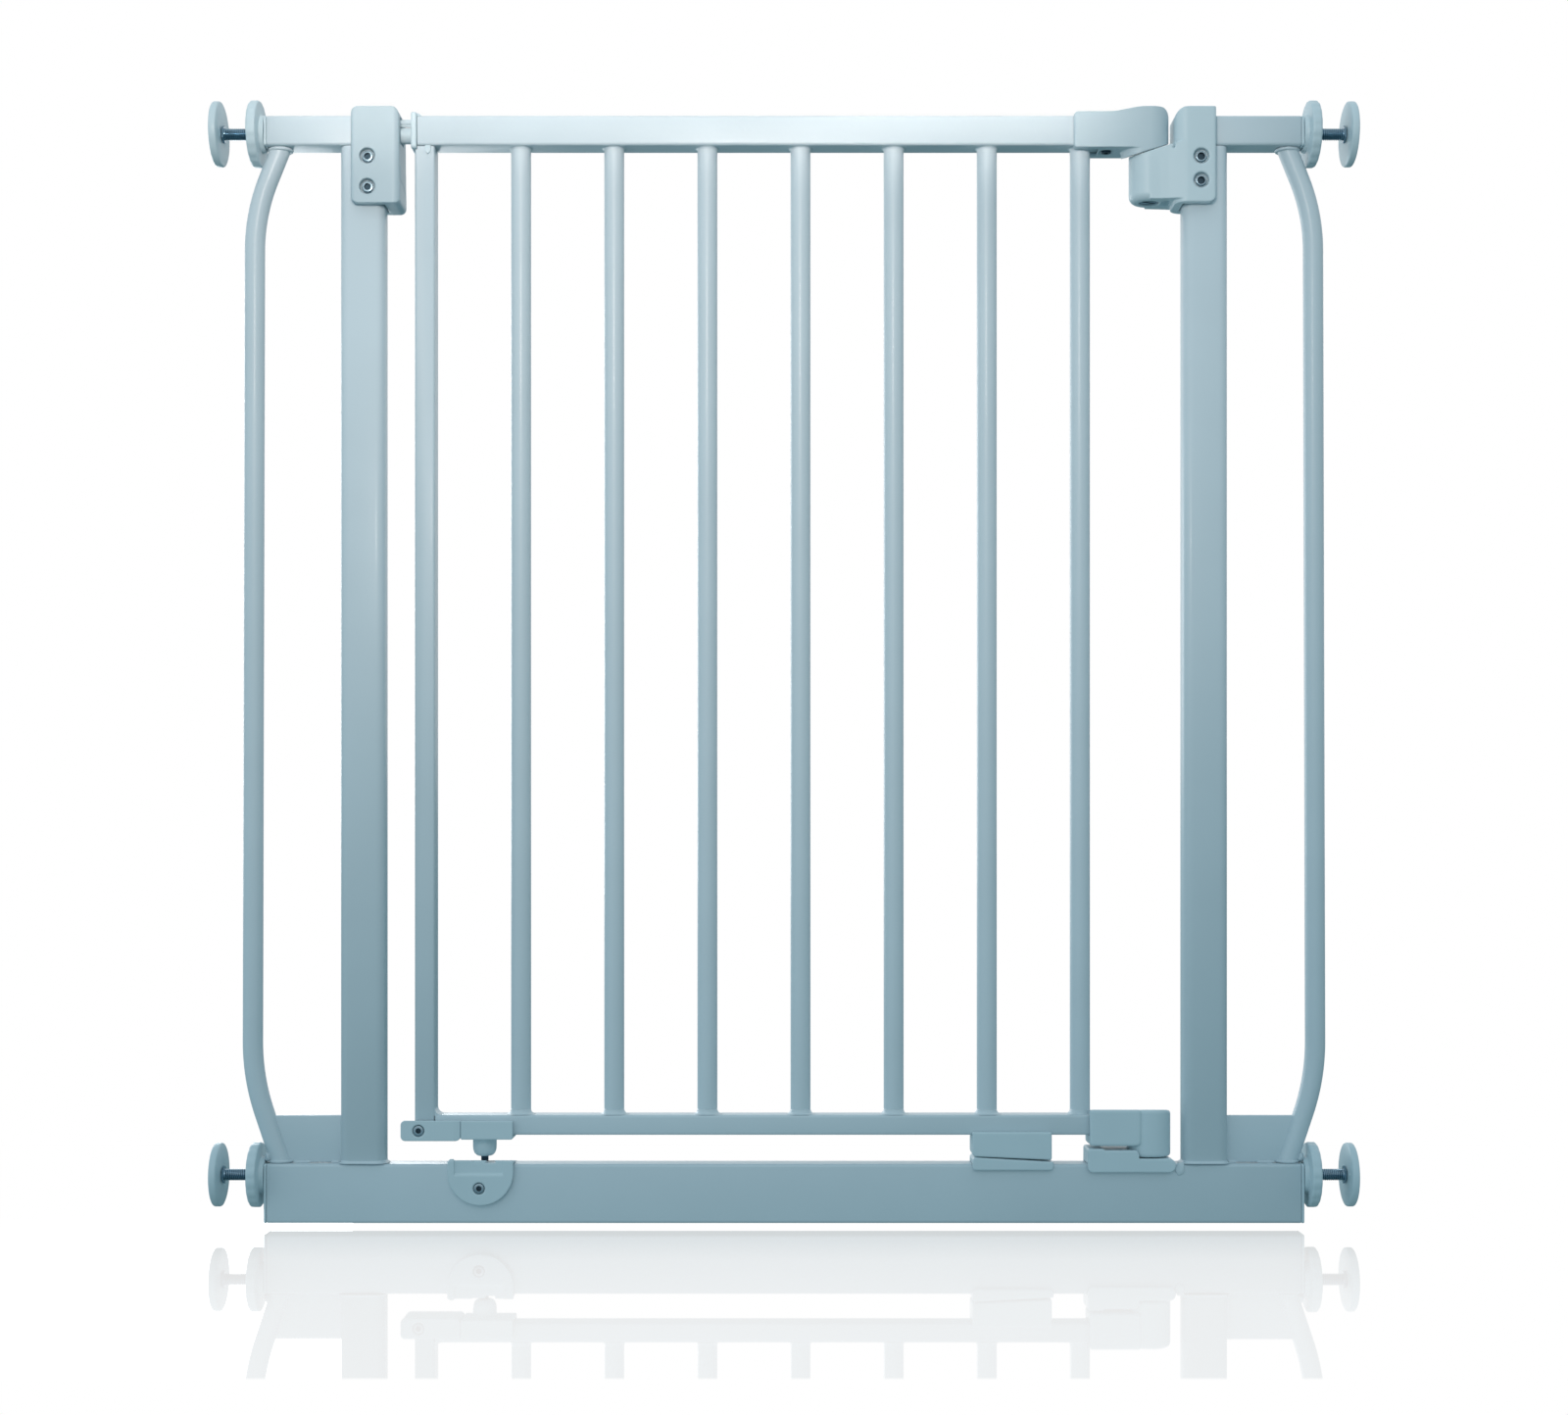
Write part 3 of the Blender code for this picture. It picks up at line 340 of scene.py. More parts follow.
def on_circle(centre, radius, degrees):
    a = math.radians(degrees)
    return (centre[0] + radius * math.cos(a), centre[1] + radius * math.sin(a))


def arc(centre, radius, start, end, steps=8):
    """Points on a circle between two angles in degrees."""
    sweep_angle = end - start
    return [on_circle(centre, radius, start + sweep_angle * i / steps) for i in range(steps + 1)]


def hexagon(radius):
    return arc((0, 0), radius, 0, 300, 5)


def turns(sides):
    return [math.tau * k / sides for k in range(sides)]


def rounded(low, high, radius, steps=6):
    """A rectangle with round corners, anticlockwise from its lower right corner. The radius is one
    number, or one for each corner: lower right, upper right, upper left, lower left."""
    radii = radius if isinstance(radius, tuple) else (radius,) * 4
    corners = (
        (high[0], low[1], -1, 1, -90), (high[0], high[1], -1, -1, 0),
        (low[0], high[1], 1, -1, 90), (low[0], low[1], 1, 1, 180),
    )
    points = []
    for (x, y, sx, sy, start), r in zip(corners, radii):
        points += arc((x + sx * r, y + sy * r), r, start, start + 90, steps) if r else [(x, y)]
    return points


def long_round(start_x, end_x, radius):
    """A plan with half round ends."""
    return arc((start_x, 0), radius, 90, 270, 28) + arc((end_x, 0), radius, -90, 90, 28)


def laid(outline, level, normal):
    """An outline as points at a level of an axis: Y-Z outlines on 0, X-Z on 1, X-Y on 2."""
    order = {0: (2, 0, 1), 1: (0, 2, 1), 2: (0, 1, 2)}[normal]
    return [[(u, v, level)[i] for i in order] for u, v in outline]


def prism(name, outline, span, normal):
    """An outline extruded over a span along an axis."""
    return skin(name, [laid(outline, level, normal) for level in span])


def block(name, x, y, z, edge=0.0):
    """A block, its edges rounded."""
    obj = prism(name, [(x[0], y[0]), (x[1], y[0]), (x[1], y[1]), (x[0], y[1])], z, 2)
    return bevel(obj, edge, 3) if edge else obj


def turn_to(axis, foot):
    """The matrix that takes local Z to an axis through foot."""
    return Matrix.Translation(foot) @ Z.rotation_difference(axis).to_matrix().to_4x4()


def shift(obj, matrix):
    """Moves a mesh by a matrix in millimetres."""
    matrix.translation = matrix.translation * MM
    obj.data.transform(matrix)
    return obj


def lathe(name, profile, foot, axis, steps=64, ripple=None):
    """Turns (radius, height) points about an axis; radius 0 closes an end. A profile that doesn't
    touch the axis is closed on itself. ripple(angle, radius) may move a radius."""
    place = turn_to(axis, foot)
    rings = []
    for radius, height in profile:
        ring = []
        for angle in turns(steps if radius else 1):
            r = ripple(angle, radius) if ripple else radius
            ring.append(place @ Vector((r * math.cos(angle), r * math.sin(angle), height)))
        rings.append(ring)
    return skin(name, rings, loop=profile[0][0] > 0 and profile[-1][0] > 0)


def rod(name, foot, axis, radius, length, sides=48):
    return lathe(name, [(0, 0), (radius, 0), (radius, length), (0, length)], foot, axis, sides)


def tube_skin(outline, inner, span, normal, lip=0.35):
    """A straight tube with an outer and an inner outline of equal counts, its ends eased."""
    low, high = span

    def lean(share):
        """The outline, moved over the wall towards the inner one."""
        return [(a[0] + (b[0] - a[0]) * share, a[1] + (b[1] - a[1]) * share)
                for a, b in zip(outline, inner)]

    levels = [
        (outline, low + lip), (lean(0.15), low + lip * 0.3), (lean(0.375), low),
        (lean(0.75), low), (inner, low + lip), (inner, high - lip),
        (lean(0.75), high), (lean(0.375), high),
        (lean(0.15), high - lip * 0.3), (outline, high - lip),
    ]
    return skin("tube", [laid(ring, level, normal) for ring, level in levels], loop=True)


def box_tube(node, name, body, axis, corner, wall, end_cut=None):
    """A rectangular tube along an axis, as large as its node."""
    low, high = box(node)
    u, v = [i for i in range(3) if i != axis]
    outer = rounded((low[u], low[v]), (high[u], high[v]), corner)
    bore = max(corner - wall, 0.2)
    inner = rounded((low[u] + wall, low[v] + wall), (high[u] - wall, high[v] - wall), bore)
    tube = tube_skin(outer, inner, (low[axis], high[axis]), axis)
    if end_cut:
        cut(tube, end_cut)
    painted(tube, name, body, node, 50)


def sweep(path, radius):
    """A round tube along a path that lies in the X-Z plane."""
    sides, wall = 32, 1.2
    last = len(path) - 1
    stations = [(i, radius) for i in range(last + 1)]
    stations += [(i, radius - wall) for i in range(last, -1, -1)]
    rings = []
    for i, r in stations:
        along = (path[min(i + 1, last)] - path[max(i - 1, 0)]).normalized()
        side = along.cross(Y)
        rings.append([path[i] + (side * math.cos(a) + Y * math.sin(a)) * r for a in turns(sides)])
    return skin("tube", rings, loop=True)


# Welds

def bead(name, path, width, seed, ring=False):
    """A weld bead along a path of (point, outward normal) pairs, lumpy as a hand-made one is. A
    ring's last point is its first one; any other bead tapers to both ends and is a little flat."""
    sides, lumps, swell, flat = (8, 1.1, 0.18, 1.0) if ring else (10, 1.6, 0.16, 0.8)
    last = len(path) - 1
    rings = []
    for i, (point, up) in enumerate(path[:-1] if ring else path):
        before = path[i - 1 if ring else max(i - 1, 0)][0]
        after = path[(i + 1) % last if ring else min(i + 1, last)][0]
        along = (after - before).normalized()
        up = (up - along * up.dot(along)).normalized()
        side = along.cross(up)
        taper = 1.0 if ring else min(1.0, 0.35 + 5.2 * min(i, last - i) / last)
        wave = noise.noise(point * lumps + X * seed)
        r = width / 2 * taper * (1 + swell * wave)
        rings.append([
            point + side * (math.cos(a) * r) + up * (math.sin(a) * r * flat) for a in turns(sides)
        ])
    return painted(skin(name, rings, loop=ring), name)


def straight(start, end, up):
    """A bead's path along a line."""
    start, end, up = Vector(start), Vector(end), Vector(up)
    count = 24
    return [(start.lerp(end, i / count), up) for i in range(count + 1)]


def quarter_hollow():
    """The section of a concave fillet: how far out and how high it is, from its foot up."""
    steps = 7
    angles = [math.radians(90 * s / steps) for s in range(steps + 1)]
    return [(1 - math.sin(a), 1 - math.cos(a)) for a in angles]


def flare(name, x, base, radius, reach, depth_half, up=1, left_only=False):
    """The fillet of weld round a bar's end: it spreads reach along X, and no wider than the rail
    that the bar stands on. With left_only it keeps clear of what slides up from the right."""
    around = turns(48)
    height = reach * 1.05
    rings = []
    for step, (out, level) in enumerate(quarter_hollow()):
        ring = []
        for a in around:
            room = depth_half / max(abs(math.sin(a)), 0.02) - radius
            spot = Vector((x * 0.09 + math.cos(a), math.sin(a), step * 0.1))
            wobble = 1 + 0.12 * noise.noise(spot)
            width = 0.4 if left_only and math.cos(a) > -0.55 else reach * wobble
            r = radius + min(width, room) * out
            z = base + up * height * level * wobble
            ring.append((x + r * math.cos(a), r * math.sin(a), z))
        rings.append(ring)
    r = radius - 0.4
    for z in (base + up * height * 0.9, base - up * 0.1):
        rings.append([(x + r * math.cos(a), r * math.sin(a), z) for a in around])
    return painted(skin(name, rings, loop=True), name, "leaf")


def lump(name, centre, size, seed):
    """A blob of weld."""
    maker = bmesh.new()
    bmesh.ops.create_icosphere(maker, subdivisions=4, radius=1)
    for vertex in maker.verts:
        wave = noise.noise(vertex.co * 1.3 + X * seed)
        point = vertex.co * (1 + 0.25 * wave)
        vertex.co = Vector(centre) + Vector([a * b for a, b in zip(point, size)])
    return painted(new_object(name, maker), name)


# Frame

def make_frame_tubes():
    box_tube("bottom_rail", "bottom_rail_tube", "root", 0, 2.2, FRAME_WALL)
    for side, _ in SIDES:
        box_tube(f"{side}_post", f"{side}_post_tube", "root", 2, 6, FRAME_WALL)
        box_tube(f"{side}_top_stub", f"{side}_stub_tube", "root", 0, 2, FRAME_WALL)


def bowed_path(side, low, high):
    """The middle line of a side tube between its ends' heights: a long straight with a bend at
    each end, as in the CAD."""
    upper_bend, upper_angle, upper_z, upper_x = 130, 22, 658.5, 359
    lower_bend, lower_angle, lower_z, lower_x = 150, FOOT_LEAN, 121.8, 360.4
    upper = arc((upper_x - upper_bend, upper_z), upper_bend, upper_angle, 0, 14)
    lower = arc((lower_x - lower_bend, lower_z), lower_bend, 0, -lower_angle, 14)
    run = (high - upper[0][1]) * math.tan(math.radians(upper_angle))
    drop = (lower[-1][1] - low) * math.tan(math.radians(lower_angle))
    points = [(upper[0][0] - run, high)] + upper + lower + [(lower[-1][0] - drop, low)]
    return [Vector((side * x, 0, z)) for x, z in points]


def make_side_tubes():
    for name, side in SIDES:
        node = f"{name}_side_tube"
        low, high = box(node)
        radius = (high.y - low.y) / 2
        spare, past = 4, 20
        tube = sweep(bowed_path(side, low.z - spare, high.z + spare), radius)
        span = (low.x - past, high.x + past)
        above = block("above", span, (-past, past), (high.z, high.z + past))
        below = block("below", span, (-past, past), (low.z - past, low.z))
        painted(cut(tube, above, below), f"{name}_bowed_tube", "root", node, 50)
        ends = bowed_path(side, low.z, high.z)
        for label, end, near, lift in (
            ("upper", ends[0], ends[1], -1), ("lower", ends[-1], ends[-2], 1)
        ):
            wide = radius / abs((near - end).normalized().z)
            path = []
            for k in range(49):
                a = math.tau * k / 48
                offset = Vector((math.cos(a) * wide, math.sin(a) * radius, 0))
                out = Vector((math.cos(a), math.sin(a), lift * 0.8))
                path.append((end + offset * 1.01 + Z * (lift * 0.9), out))
            bead(f"{name}_{label}_tube_weld", path, 2.4, 7 * side + lift, ring=True)


def make_gussets():
    for name, side in SIDES:
        node = f"{name}_gusset"
        low, high = box(node)
        inner, outer = (high.x, low.x) if side < 0 else (low.x, high.x)
        foot = outer - side * (high.z - low.z) * math.tan(math.radians(FOOT_LEAN)) * 0.96
        tuck = side * 4
        outline = [(inner, low.z), (foot + tuck, low.z), (outer + tuck, high.z), (inner, high.z)]
        plate = bevel(prism("plate", outline, (low.y, high.y), 1), 0.5, 3)
        painted(plate, f"{name}_gusset_plate", "root", node, 40)
        front = low.y - 0.1
        path = straight((inner, front, low.z + 1.5), (inner, front, high.z - 0.5),
                        (-side * 0.7, -0.7, 0))
        bead(f"{name}_gusset_post_weld", path, 1.8, 3)
        for part, shares in enumerate(((0.03, 0.2), (0.62, 0.98))):
            start, end = ((inner + (foot - inner) * share, front, low.z + 0.4) for share in shares)
            path = straight(start, end, (0, -0.7, 0.7))
            bead(f"{name}_gusset_foot_weld_{part + 1}", path, 2.0, 9 + part)


def side_of(value, margin):
    """-1, 0 or 1, where 0 is within margin of the middle."""
    return math.copysign(1, value) if abs(value) > margin else 0


def make_post_welds():
    """The concave fillet of weld round each post's foot."""
    reach, corner = 2.2, 6
    half_flat_x, half_flat_y = 9, 4
    for side, sign in SIDES:
        low, high = box(f"{side}_post")
        centre = (low.x + high.x) / 2 - sign * 0.001    # the outer corners take in their ends
        rings = []
        for out, level in quarter_hollow():
            ring = []
            for x, y in rounded((low.x, low.y), (high.x, high.y), corner, 8):
                across, along = side_of(x - centre, half_flat_x), side_of(y, half_flat_y)
                away = Vector((across, along, 0)).normalized()
                wobble = 1 + 0.2 * noise.noise(Vector((x, y, 0)) * 0.3)
                foot = Vector((x, y, low.z + reach * level * wobble))
                ring.append(foot + away * (reach * out * wobble - 0.05))
            rings.append(ring)
        inside = rounded((low.x + 1, low.y + 1), (high.x - 1, high.y - 1), corner - 1, 8)
        rings += [laid(inside, z, 2) for z in (low.z + reach * 0.8, low.z - 0.1)]
        name = f"{side}_post_foot_weld"
        painted(skin(name, rings, loop=True), name, angle=60)


def make_tube_caps():
    flange, plug_start, plug_end, inset = 1.7, 1.2, 14, 1.8
    for level in ("upper", "lower"):
        for side, sign in SIDES:
            name = f"{level}_{side}_tube_cap"
            low, high = box(name)
            face = low.x if sign < 0 else high.x
            outline = rounded((low.y, low.z), (high.y, high.z), 1.6)
            cap = bevel(prism("cap", outline, (face, face - sign * flange), 0), 0.45, 3, 1.0)
            inner = rounded((low.y + inset, low.z + inset), (high.y - inset, high.z - inset), 1)
            plug = prism("plug", inner, (face - sign * plug_start, face - sign * plug_end), 0)
            mouth = (face - sign * 20, 0, spindle_height(level))
            cut(join(cap, plug), rod("hole", mouth, X * sign, 4.35, 30))
            moulded(cap, name, angle=40)


def spindle_height(level):
    return middle(f"threaded_rod_{level}_left").z


# Fasteners

def screw_seat(node, front, radius, depth, hole_r):
    """A stepped hole with an eased rim, for a screw that goes in from the front."""
    spot = middle(node)
    profile = [
        (0, -2), (radius + 0.5, -2), (radius + 0.5, -0.1), (radius, 0.5), (radius, depth),
        (hole_r, depth), (hole_r, depth + 9), (0, depth + 9),
    ]
    return lathe("seat", profile, (spot.x, front, spot.z), Y, 48)


def small_seat(node, front):
    return screw_seat(node, front, 4, 1.9, 1.8)


def socket_screw(node, head_r, socket_r, body, material=SCREW, along=1):
    """A socket screw: a turned head with a chamfered rim and a hexagon socket with a chamfered
    mouth.
    The head is at its node's low end along an axis, and the shank goes up that axis."""
    low, high = box(node)
    head = (low + high) / 2
    head[along] = low[along]
    length = max(high - low)
    out = -(X, Y, Z)[along]
    head_h = head_r * 0.6
    profile = [
        (0, 0), (head_r - 0.55, 0), (head_r - 0.2, -0.12), (head_r, -0.42), (head_r, -head_h),
        (head_r * 0.55, -head_h), (head_r * 0.55, -length + 1), (head_r * 0.35, -length),
        (0, -length),
    ]
    screw = lathe("screw", profile, head, out, 48)
    tool = prism("socket", hexagon(socket_r), (-head_h * 0.75, 1), 2)
    lead = [(0, 0.3), (socket_r + 0.35, 0.3), (socket_r - 0.05, -0.25), (0, -0.25)]
    cut(screw, shift(tool, turn_to(out, head)), lathe("lead", lead, head, out, 32))
    finish(screw, f"{node}_head", material, body, node, 30)
    # The socket's walls and floor take the near-black painted shade
    screw.data.materials.append(SOCKET_SHADE)
    for polygon in screw.data.polygons:
        offset = polygon.center / MM - head
        depth = -offset.dot(out)
        if 0.02 < depth < head_h * 0.8 and (offset + out * depth).length < socket_r + 0.3:
            polygon.material_index = 1


def screw_pair(body, front, nodes, head_r, socket_r):
    """Two large screws in their seats, on the frame."""
    for node in nodes:
        cut(body, screw_seat(node, front, 5.2, 4, 2.4))
        socket_screw(node, head_r, socket_r, "root")


# Latch side

def post_room(side):
    """The space for a post and its stub inside a fitting; side is the fitting's outer side."""
    low, high = box("left_post" if side < 0 else "right_post")
    inner = high.x + FIT if side < 0 else low.x - FIT
    outer, half, top = inner + side * 80, 10.3, 747.8
    return block("room", sorted((inner, outer)), (-half, half), (650, top))


def tube_room(node, x, below=FIT, above=FIT):
    """The space for a rail inside a fitting."""
    low, high = box(node)
    return block("room", x, (low.y - FIT, high.y + FIT), (low.z - below, high.z + above))


def falling_top(front, back, top, drop, x):
    """The space above a fitting's top face, which falls by drop towards the back."""
    outline = [(front - 1, top), (front, top), (back, top - drop), (back + 1, top - drop),
               (back + 1, top + 9), (front - 1, top + 9)]
    return prism("fall", outline, x, 0)


def make_keeper_housing():
    low, high = box("keeper_housing")
    front, back = low.y, high.y
    face = high.x - 1.2
    shoulder, edge, rim, lean = 4.8, 2.6, 1.5, 0.8
    outline = rounded((low.x, low.z), (face, high.z), (4, 4.4, 5, 5.3))
    body = prism("housing", outline, (front, back), 1)
    for vertex in body.data.vertices:
        if vertex.co.x > -270 * MM:
            vertex.co.x -= lean * MM * (vertex.co.z / MM - low.z) / (high.z - low.z)
    plan = arc((low.x + edge, front + edge), edge, 180, 270, 6)
    plan += arc((face - shoulder, front + shoulder), shoulder, -90, 0, 8)
    plan += arc((face + 1 - rim, back - rim), rim, 0, 90, 6)
    plan += arc((low.x + edge, back - edge), edge, 90, 180, 6)
    meet(body, prism("plan", plan, (low.z - 5, high.z + 5), 2))
    pad_plan = [(-10, 714), (13.2, 714), (13.2, 698.4), (9, 700.6), (3, 702.6), (-4, 703.6),
                (-10, 704)]
    join(body, bevel(prism("pad", pad_plan, (face - 3, face + 0.2), 0), 0.4, 2))
    tongue_z = middle("latch_tongue").z
    socket = block("socket", (-266, -255), (-6.2, 6.2), (tongue_z - 6.3, tongue_z + 12.6), 0.8)
    cut(body, post_room(-1), socket)
    screw_pair(body, front, ("keeper_upper_screw", "keeper_lower_screw"), 3.8, 2.2)
    # The housing takes the darker copy of the nylon: painted shade
    moulded(soften(body), "keeper_housing", material=PAINTED_SHADE_PLASTIC)


def make_lower_keeper():
    low, high = box("lower_keeper")
    front = low.y
    centre, radius = (low.x + high.x) / 2, (high.x - low.x) / 2
    outline = [(high.x, high.z)]
    outline += arc((low.x + 1, high.z - 1), 1, 90, 180, 4)
    outline += arc((centre, low.z + radius), radius, 180, 360, 40)
    keeper = prism("keeper", outline, (low.y, high.y), 1)
    cut(keeper, falling_top(front + 3, high.y, high.z, 3.2, (low.x - 1, high.x + 1)))
    bevel(keeper, 0.9, 4, 0.9)
    x = (low.x - 5, high.x + 5)
    cut(keeper, tube_room("bottom_rail", x, below=9), block("back", x, (10, 20), (-5, 29)))
    ledge = 33.4
    wedge = [(front - 2, ledge - 0.9), (front, ledge - 0.7), (front + 1.5, ledge + 0.6),
             (front + 1.5, high.z + 2), (front - 2, high.z + 2)]
    pocket = prism("pocket", wedge, (-222, -189.3), 0)
    pin_x = middle("foot_pin").x
    slot_half, slot_end, floor = 2.9, pin_x + 8.5, 41.3
    way_out = block("way_out", (pin_x + 1.7, slot_end), (-20, 20), (40.8, high.z + 1))
    slot = block("slot", (pin_x - slot_half, slot_end), (-slot_half, slot_half), (30, high.z + 1))
    notch = [(pin_x - 8, high.z + 1), (pin_x - 6, floor), (slot_end - 1.5, floor),
             (slot_end + 1, high.z + 1)]
    cut(keeper, pocket, way_out, slot, prism("notch", notch, (-20, -10), 1))
    join(keeper, block("bump", (low.x + 1.2, low.x + 4.4), (front + 0.4, front + 3),
                       (high.z - 2, high.z + 0.9), 0.6))
    node = "lower_keeper_screw"
    cut(keeper, small_seat(node, front))
    moulded(soften(keeper, 0.34, 4), "lower_keeper")
    socket_screw(node, 3.5, 1.7, "root")


def make_rest_pair():
    low, high = box("rest_ramp")
    r, slope_low = 2.4, 41.9
    outline = arc((low.x + r, low.z + r), r, 180, 270, 6)
    outline += arc((high.x - r, low.z + r), r, 270, 360, 6)
    outline += [(high.x, slope_low - 0.6), (high.x - 0.8, slope_low),
                (low.x + 1.5, high.z), (low.x, high.z - 1.5)]
    ramp = bevel(prism("ramp", outline, (low.y, high.y), 1), 1.1, 4, 0.9)
    cut(ramp, tube_room("bottom_rail", (low.x - 1, high.x + 1), below=9))
    moulded(soften(ramp, 0.36, 4), "rest_ramp")
    left_z, right_z = high.z + 0.5, 43.1
    low, high = box("rest_block")
    outline = [(low.x + 2, left_z), (high.x - 0.8, right_z), (high.x, right_z + 0.8)]
    outline += arc((high.x - 1, high.z - 1), 1, 0, 90, 4)
    outline += arc((low.x + 1, high.z - 1), 1, 90, 180, 4)
    outline += [(low.x, left_z + 2), (low.x + 0.6, left_z + 0.6)]
    rest = bevel(prism("rest", outline, (low.y, high.y), 1), 1.0, 4, 0.9)
    cut(rest, tube_room("leaf_bottom_rail", (low.x - 1, high.x + 1), above=9))
    moulded(soften(rest, 0.36, 4), "rest_block", "leaf")


# Hinge side

def slanted(name, gap, far):
    """The half space above (far > 0) or below the slanted faces' plane."""
    reach = 70
    rise, level = reach * SLANT_RIGHT, SLANT_Z + gap
    outline = [
        (HINGE_X - reach, level - rise), (HINGE_X + reach, level + rise),
        (HINGE_X + reach, level + far), (HINGE_X - reach, level + far),
    ]
    space = prism(name, outline, (-40, 40), 1)
    for vertex in space.data.vertices:
        vertex.co.z += vertex.co.y * SLANT_BACK
    return space


def mirrored(points):
    """The back half of a plan, from its front half."""
    return [(x, -y) for x, y in reversed(points)]


def make_hinge_bracket():
    low, high = box("hinge_bracket")
    front, back = low.y, high.y
    left, right = 263.2, high.x
    quarter = [math.radians(a) for a in range(0, 91, 9)]
    wide, deep, rim = 8.8, 8, 2
    nose = [(left + wide * (1 - math.cos(a)), front + deep * (1 - math.sin(a))) for a in quarter]
    plan = nose + arc((right - rim, front + rim), rim, -90, 0, 5)
    plan += arc((right - rim, back - rim), rim, 0, 90, 5)
    plan += mirrored(nose)
    body = prism("bracket", plan, (680, 760), 2)
    foot_r, head_r = 5.5, 8
    outline = [(left - 1, low.z)]
    outline += arc((right - foot_r, low.z + foot_r), foot_r, 270, 360, 8)
    outline += [(right, high.z)]
    outline += arc((left + head_r, high.z - head_r), head_r, 90, 180, 10)
    outline += [(left - 1, high.z - head_r)]
    meet(body, prism("outline", outline, (front - 5, back + 5), 1))
    base, top, edge = 690.3, 750, 5
    profile = [(0, base)]
    profile += [(BARREL_R - edge + edge * math.sin(a), base + edge * (1 - math.cos(a)))
                for a in quarter]
    profile += [(BARREL_R, top), (0, top)]
    barrel = lathe("barrel", profile, (HINGE_X, 0, 0), Z, 96)
    flank = [(HINGE_X - 1, -BARREL_R + 0.04), (253, -13.6), (259, -14.2), (265, -15.1),
             (270, -15.8), (275, front + 0.1)]
    join(barrel, prism("web", flank + mirrored(flank), (base, top), 2))
    cut(barrel, slanted("above", -HINGE_FIT, 90))
    join(body, barrel)
    groove = block("groove", (261.1, 263.1), (-20, -8), (724.4, 760), 0.4)
    head_bore = rod("head_bore", (HINGE_X, 0, 673), Z, 6.9, 21.2)
    pin_hole = rod("pin_hole", (HINGE_X, 0, 680), Z, PIN_BORE, 90)
    coring = block("coring", (255.6, 261.4), (-7, 7), (680, 693.5), 1)
    cut(body, groove, head_bore, pin_hole, coring, post_room(1))
    screw_pair(body, front, ("bracket_upper_screw", "bracket_lower_screw"), 3.65, 2.5)
    moulded(soften(body, 0.5, 5), "hinge_bracket")


def make_upper_knuckle():
    low, high = box("upper_knuckle")
    left, right, under = low.x, HINGE_X + BARREL_R, 725.1
    corner, crown = 2.2, 6.5
    plan = arc((left + corner, -BARREL_R + corner), corner, 180, 270, 5)
    plan += arc((HINGE_X, 0), BARREL_R, -90, 90, 28)
    plan += arc((left + corner, BARREL_R - corner), corner, 90, 180, 5)
    body = prism("knuckle", plan, (700, 770), 2)
    flat, fall_start, fall_run, fall_steps = 749.3, 245, 27, 8
    outline = arc((left + corner, under + corner), corner, 180, 270, 5)
    outline += [(right + 1, under)]
    outline += arc((right - crown, high.z - crown), crown, 0, 90, 8)
    for i in range(1, fall_steps + 1):
        t = i / fall_steps
        ease = t * t * (3 - 2 * t)
        outline.append((fall_start - t * fall_run, high.z - (high.z - flat) * ease))
    outline += arc((left + 3, flat - 3), 3, 90, 180, 6)
    meet(body, prism("outline", outline, (-30, 30), 1))
    bevel(body, 1.6, 4, 1.0)
    join(body, prism("boss", long_round(HINGE_X - 5.4, HINGE_X, BARREL_R - 0.03), (705, 740), 2))
    cut(body, slanted("below", HINGE_FIT, -90))
    room = tube_room("top_rail", (left - 5, 236))
    slot = block("slot", (left - 5, 212.8), (-7.1, 7.1), (715, 730), 0.8)
    bore = rod("bore", (HINGE_X, 0, 690), Z, PIN_BORE, 58)
    node = "upper_knuckle_screw"
    profile = [(0, -3), (6, -3), (6, 0), (4, 1.3), (2.1, 1.3), (2.1, 8), (0, 8)]
    dish = lathe("dish", profile, (middle(node).x, 0, under), Z, 48)
    cut(body, room, slot, bore, dish)
    # The upper knuckle takes the darker copy of the nylon: painted shade
    moulded(soften(body), "upper_knuckle", "hinge_arm", material=PAINTED_SHADE_PLASTIC)
    socket_screw(node, 3.4, 1.5, "hinge_arm", DARK, 2)


def make_lower_knuckle():
    low, high = box("lower_knuckle")
    left, under, top = low.x, 52.4, high.z
    body = prism("knuckle", rounded((left, under), (240.5, top), (3, 0, 0, 2)),
                 (-BARREL_R, BARREL_R), 1)
    barrel_plan = long_round(HINGE_X - 1.5, HINGE_X + 1.5, BARREL_R - 0.35)
    barrel = prism("barrel", barrel_plan, (low.z, top), 2)
    for piece, width, segments in ((body, 1.6, 4), (barrel, 2.2, 5)):
        cut(piece, falling_top(-BARREL_R, BARREL_R, top, 3, (left - 5, 275)))
        bevel(piece, width, segments, 1.0)
    join(body, barrel)
    room = tube_room("leaf_bottom_rail", (left - 5, 233.2))
    slot = block("slot", (left - 5, 212.8), (-7.1, 7.1), (72, 90), 0.8)
    cut(body, room, slot, rod("bore", (HINGE_X, 0, 40), Z, LOWER_PIN_BORE, 32))
    moulded(soften(body), "lower_knuckle", "hinge_arm")


def make_lower_seat():
    low, high = box("lower_hinge_seat")
    nose, foot_r, low_top, top = 4.7, 3.5, 44, high.z
    outline = arc((low.x + foot_r, low.z + foot_r), foot_r, 180, 270, 6)
    outline += arc((high.x - nose, low.z + nose), nose, -90, 90, 14)
    outline += [(242, low_top), (237.4, top), (216, top), (215, top + 1)]
    outline += arc((low.x + 1.5, top - 0.4), 1.4, 90, 180, 4)
    body = bevel(prism("seat", outline, (low.y, high.y), 1), 0.9, 4, 0.9)
    pocket = rod("pocket", (HINGE_X, 0, low_top), Z, 15.6, 20, 64)
    hole = rod("hole", (HINGE_X, 0, 30), Z, LOWER_PIN_BORE, 30)
    cut(body, pocket, hole, tube_room("bottom_rail", (low.x - 2, 275), below=9))
    moulded(soften(body, 0.38, 5), "lower_hinge_seat")


def make_weld_lumps():
    for name, side in SIDES:
        lump(f"{name}_tube_weld_lump", (side * 349.6, 0, 44.2), (2.4, 6, 3.4), 8)
    lump("right_post_weld_lump", (267.3, -10, 37), (3.2, 1.3, 4.2), 5)


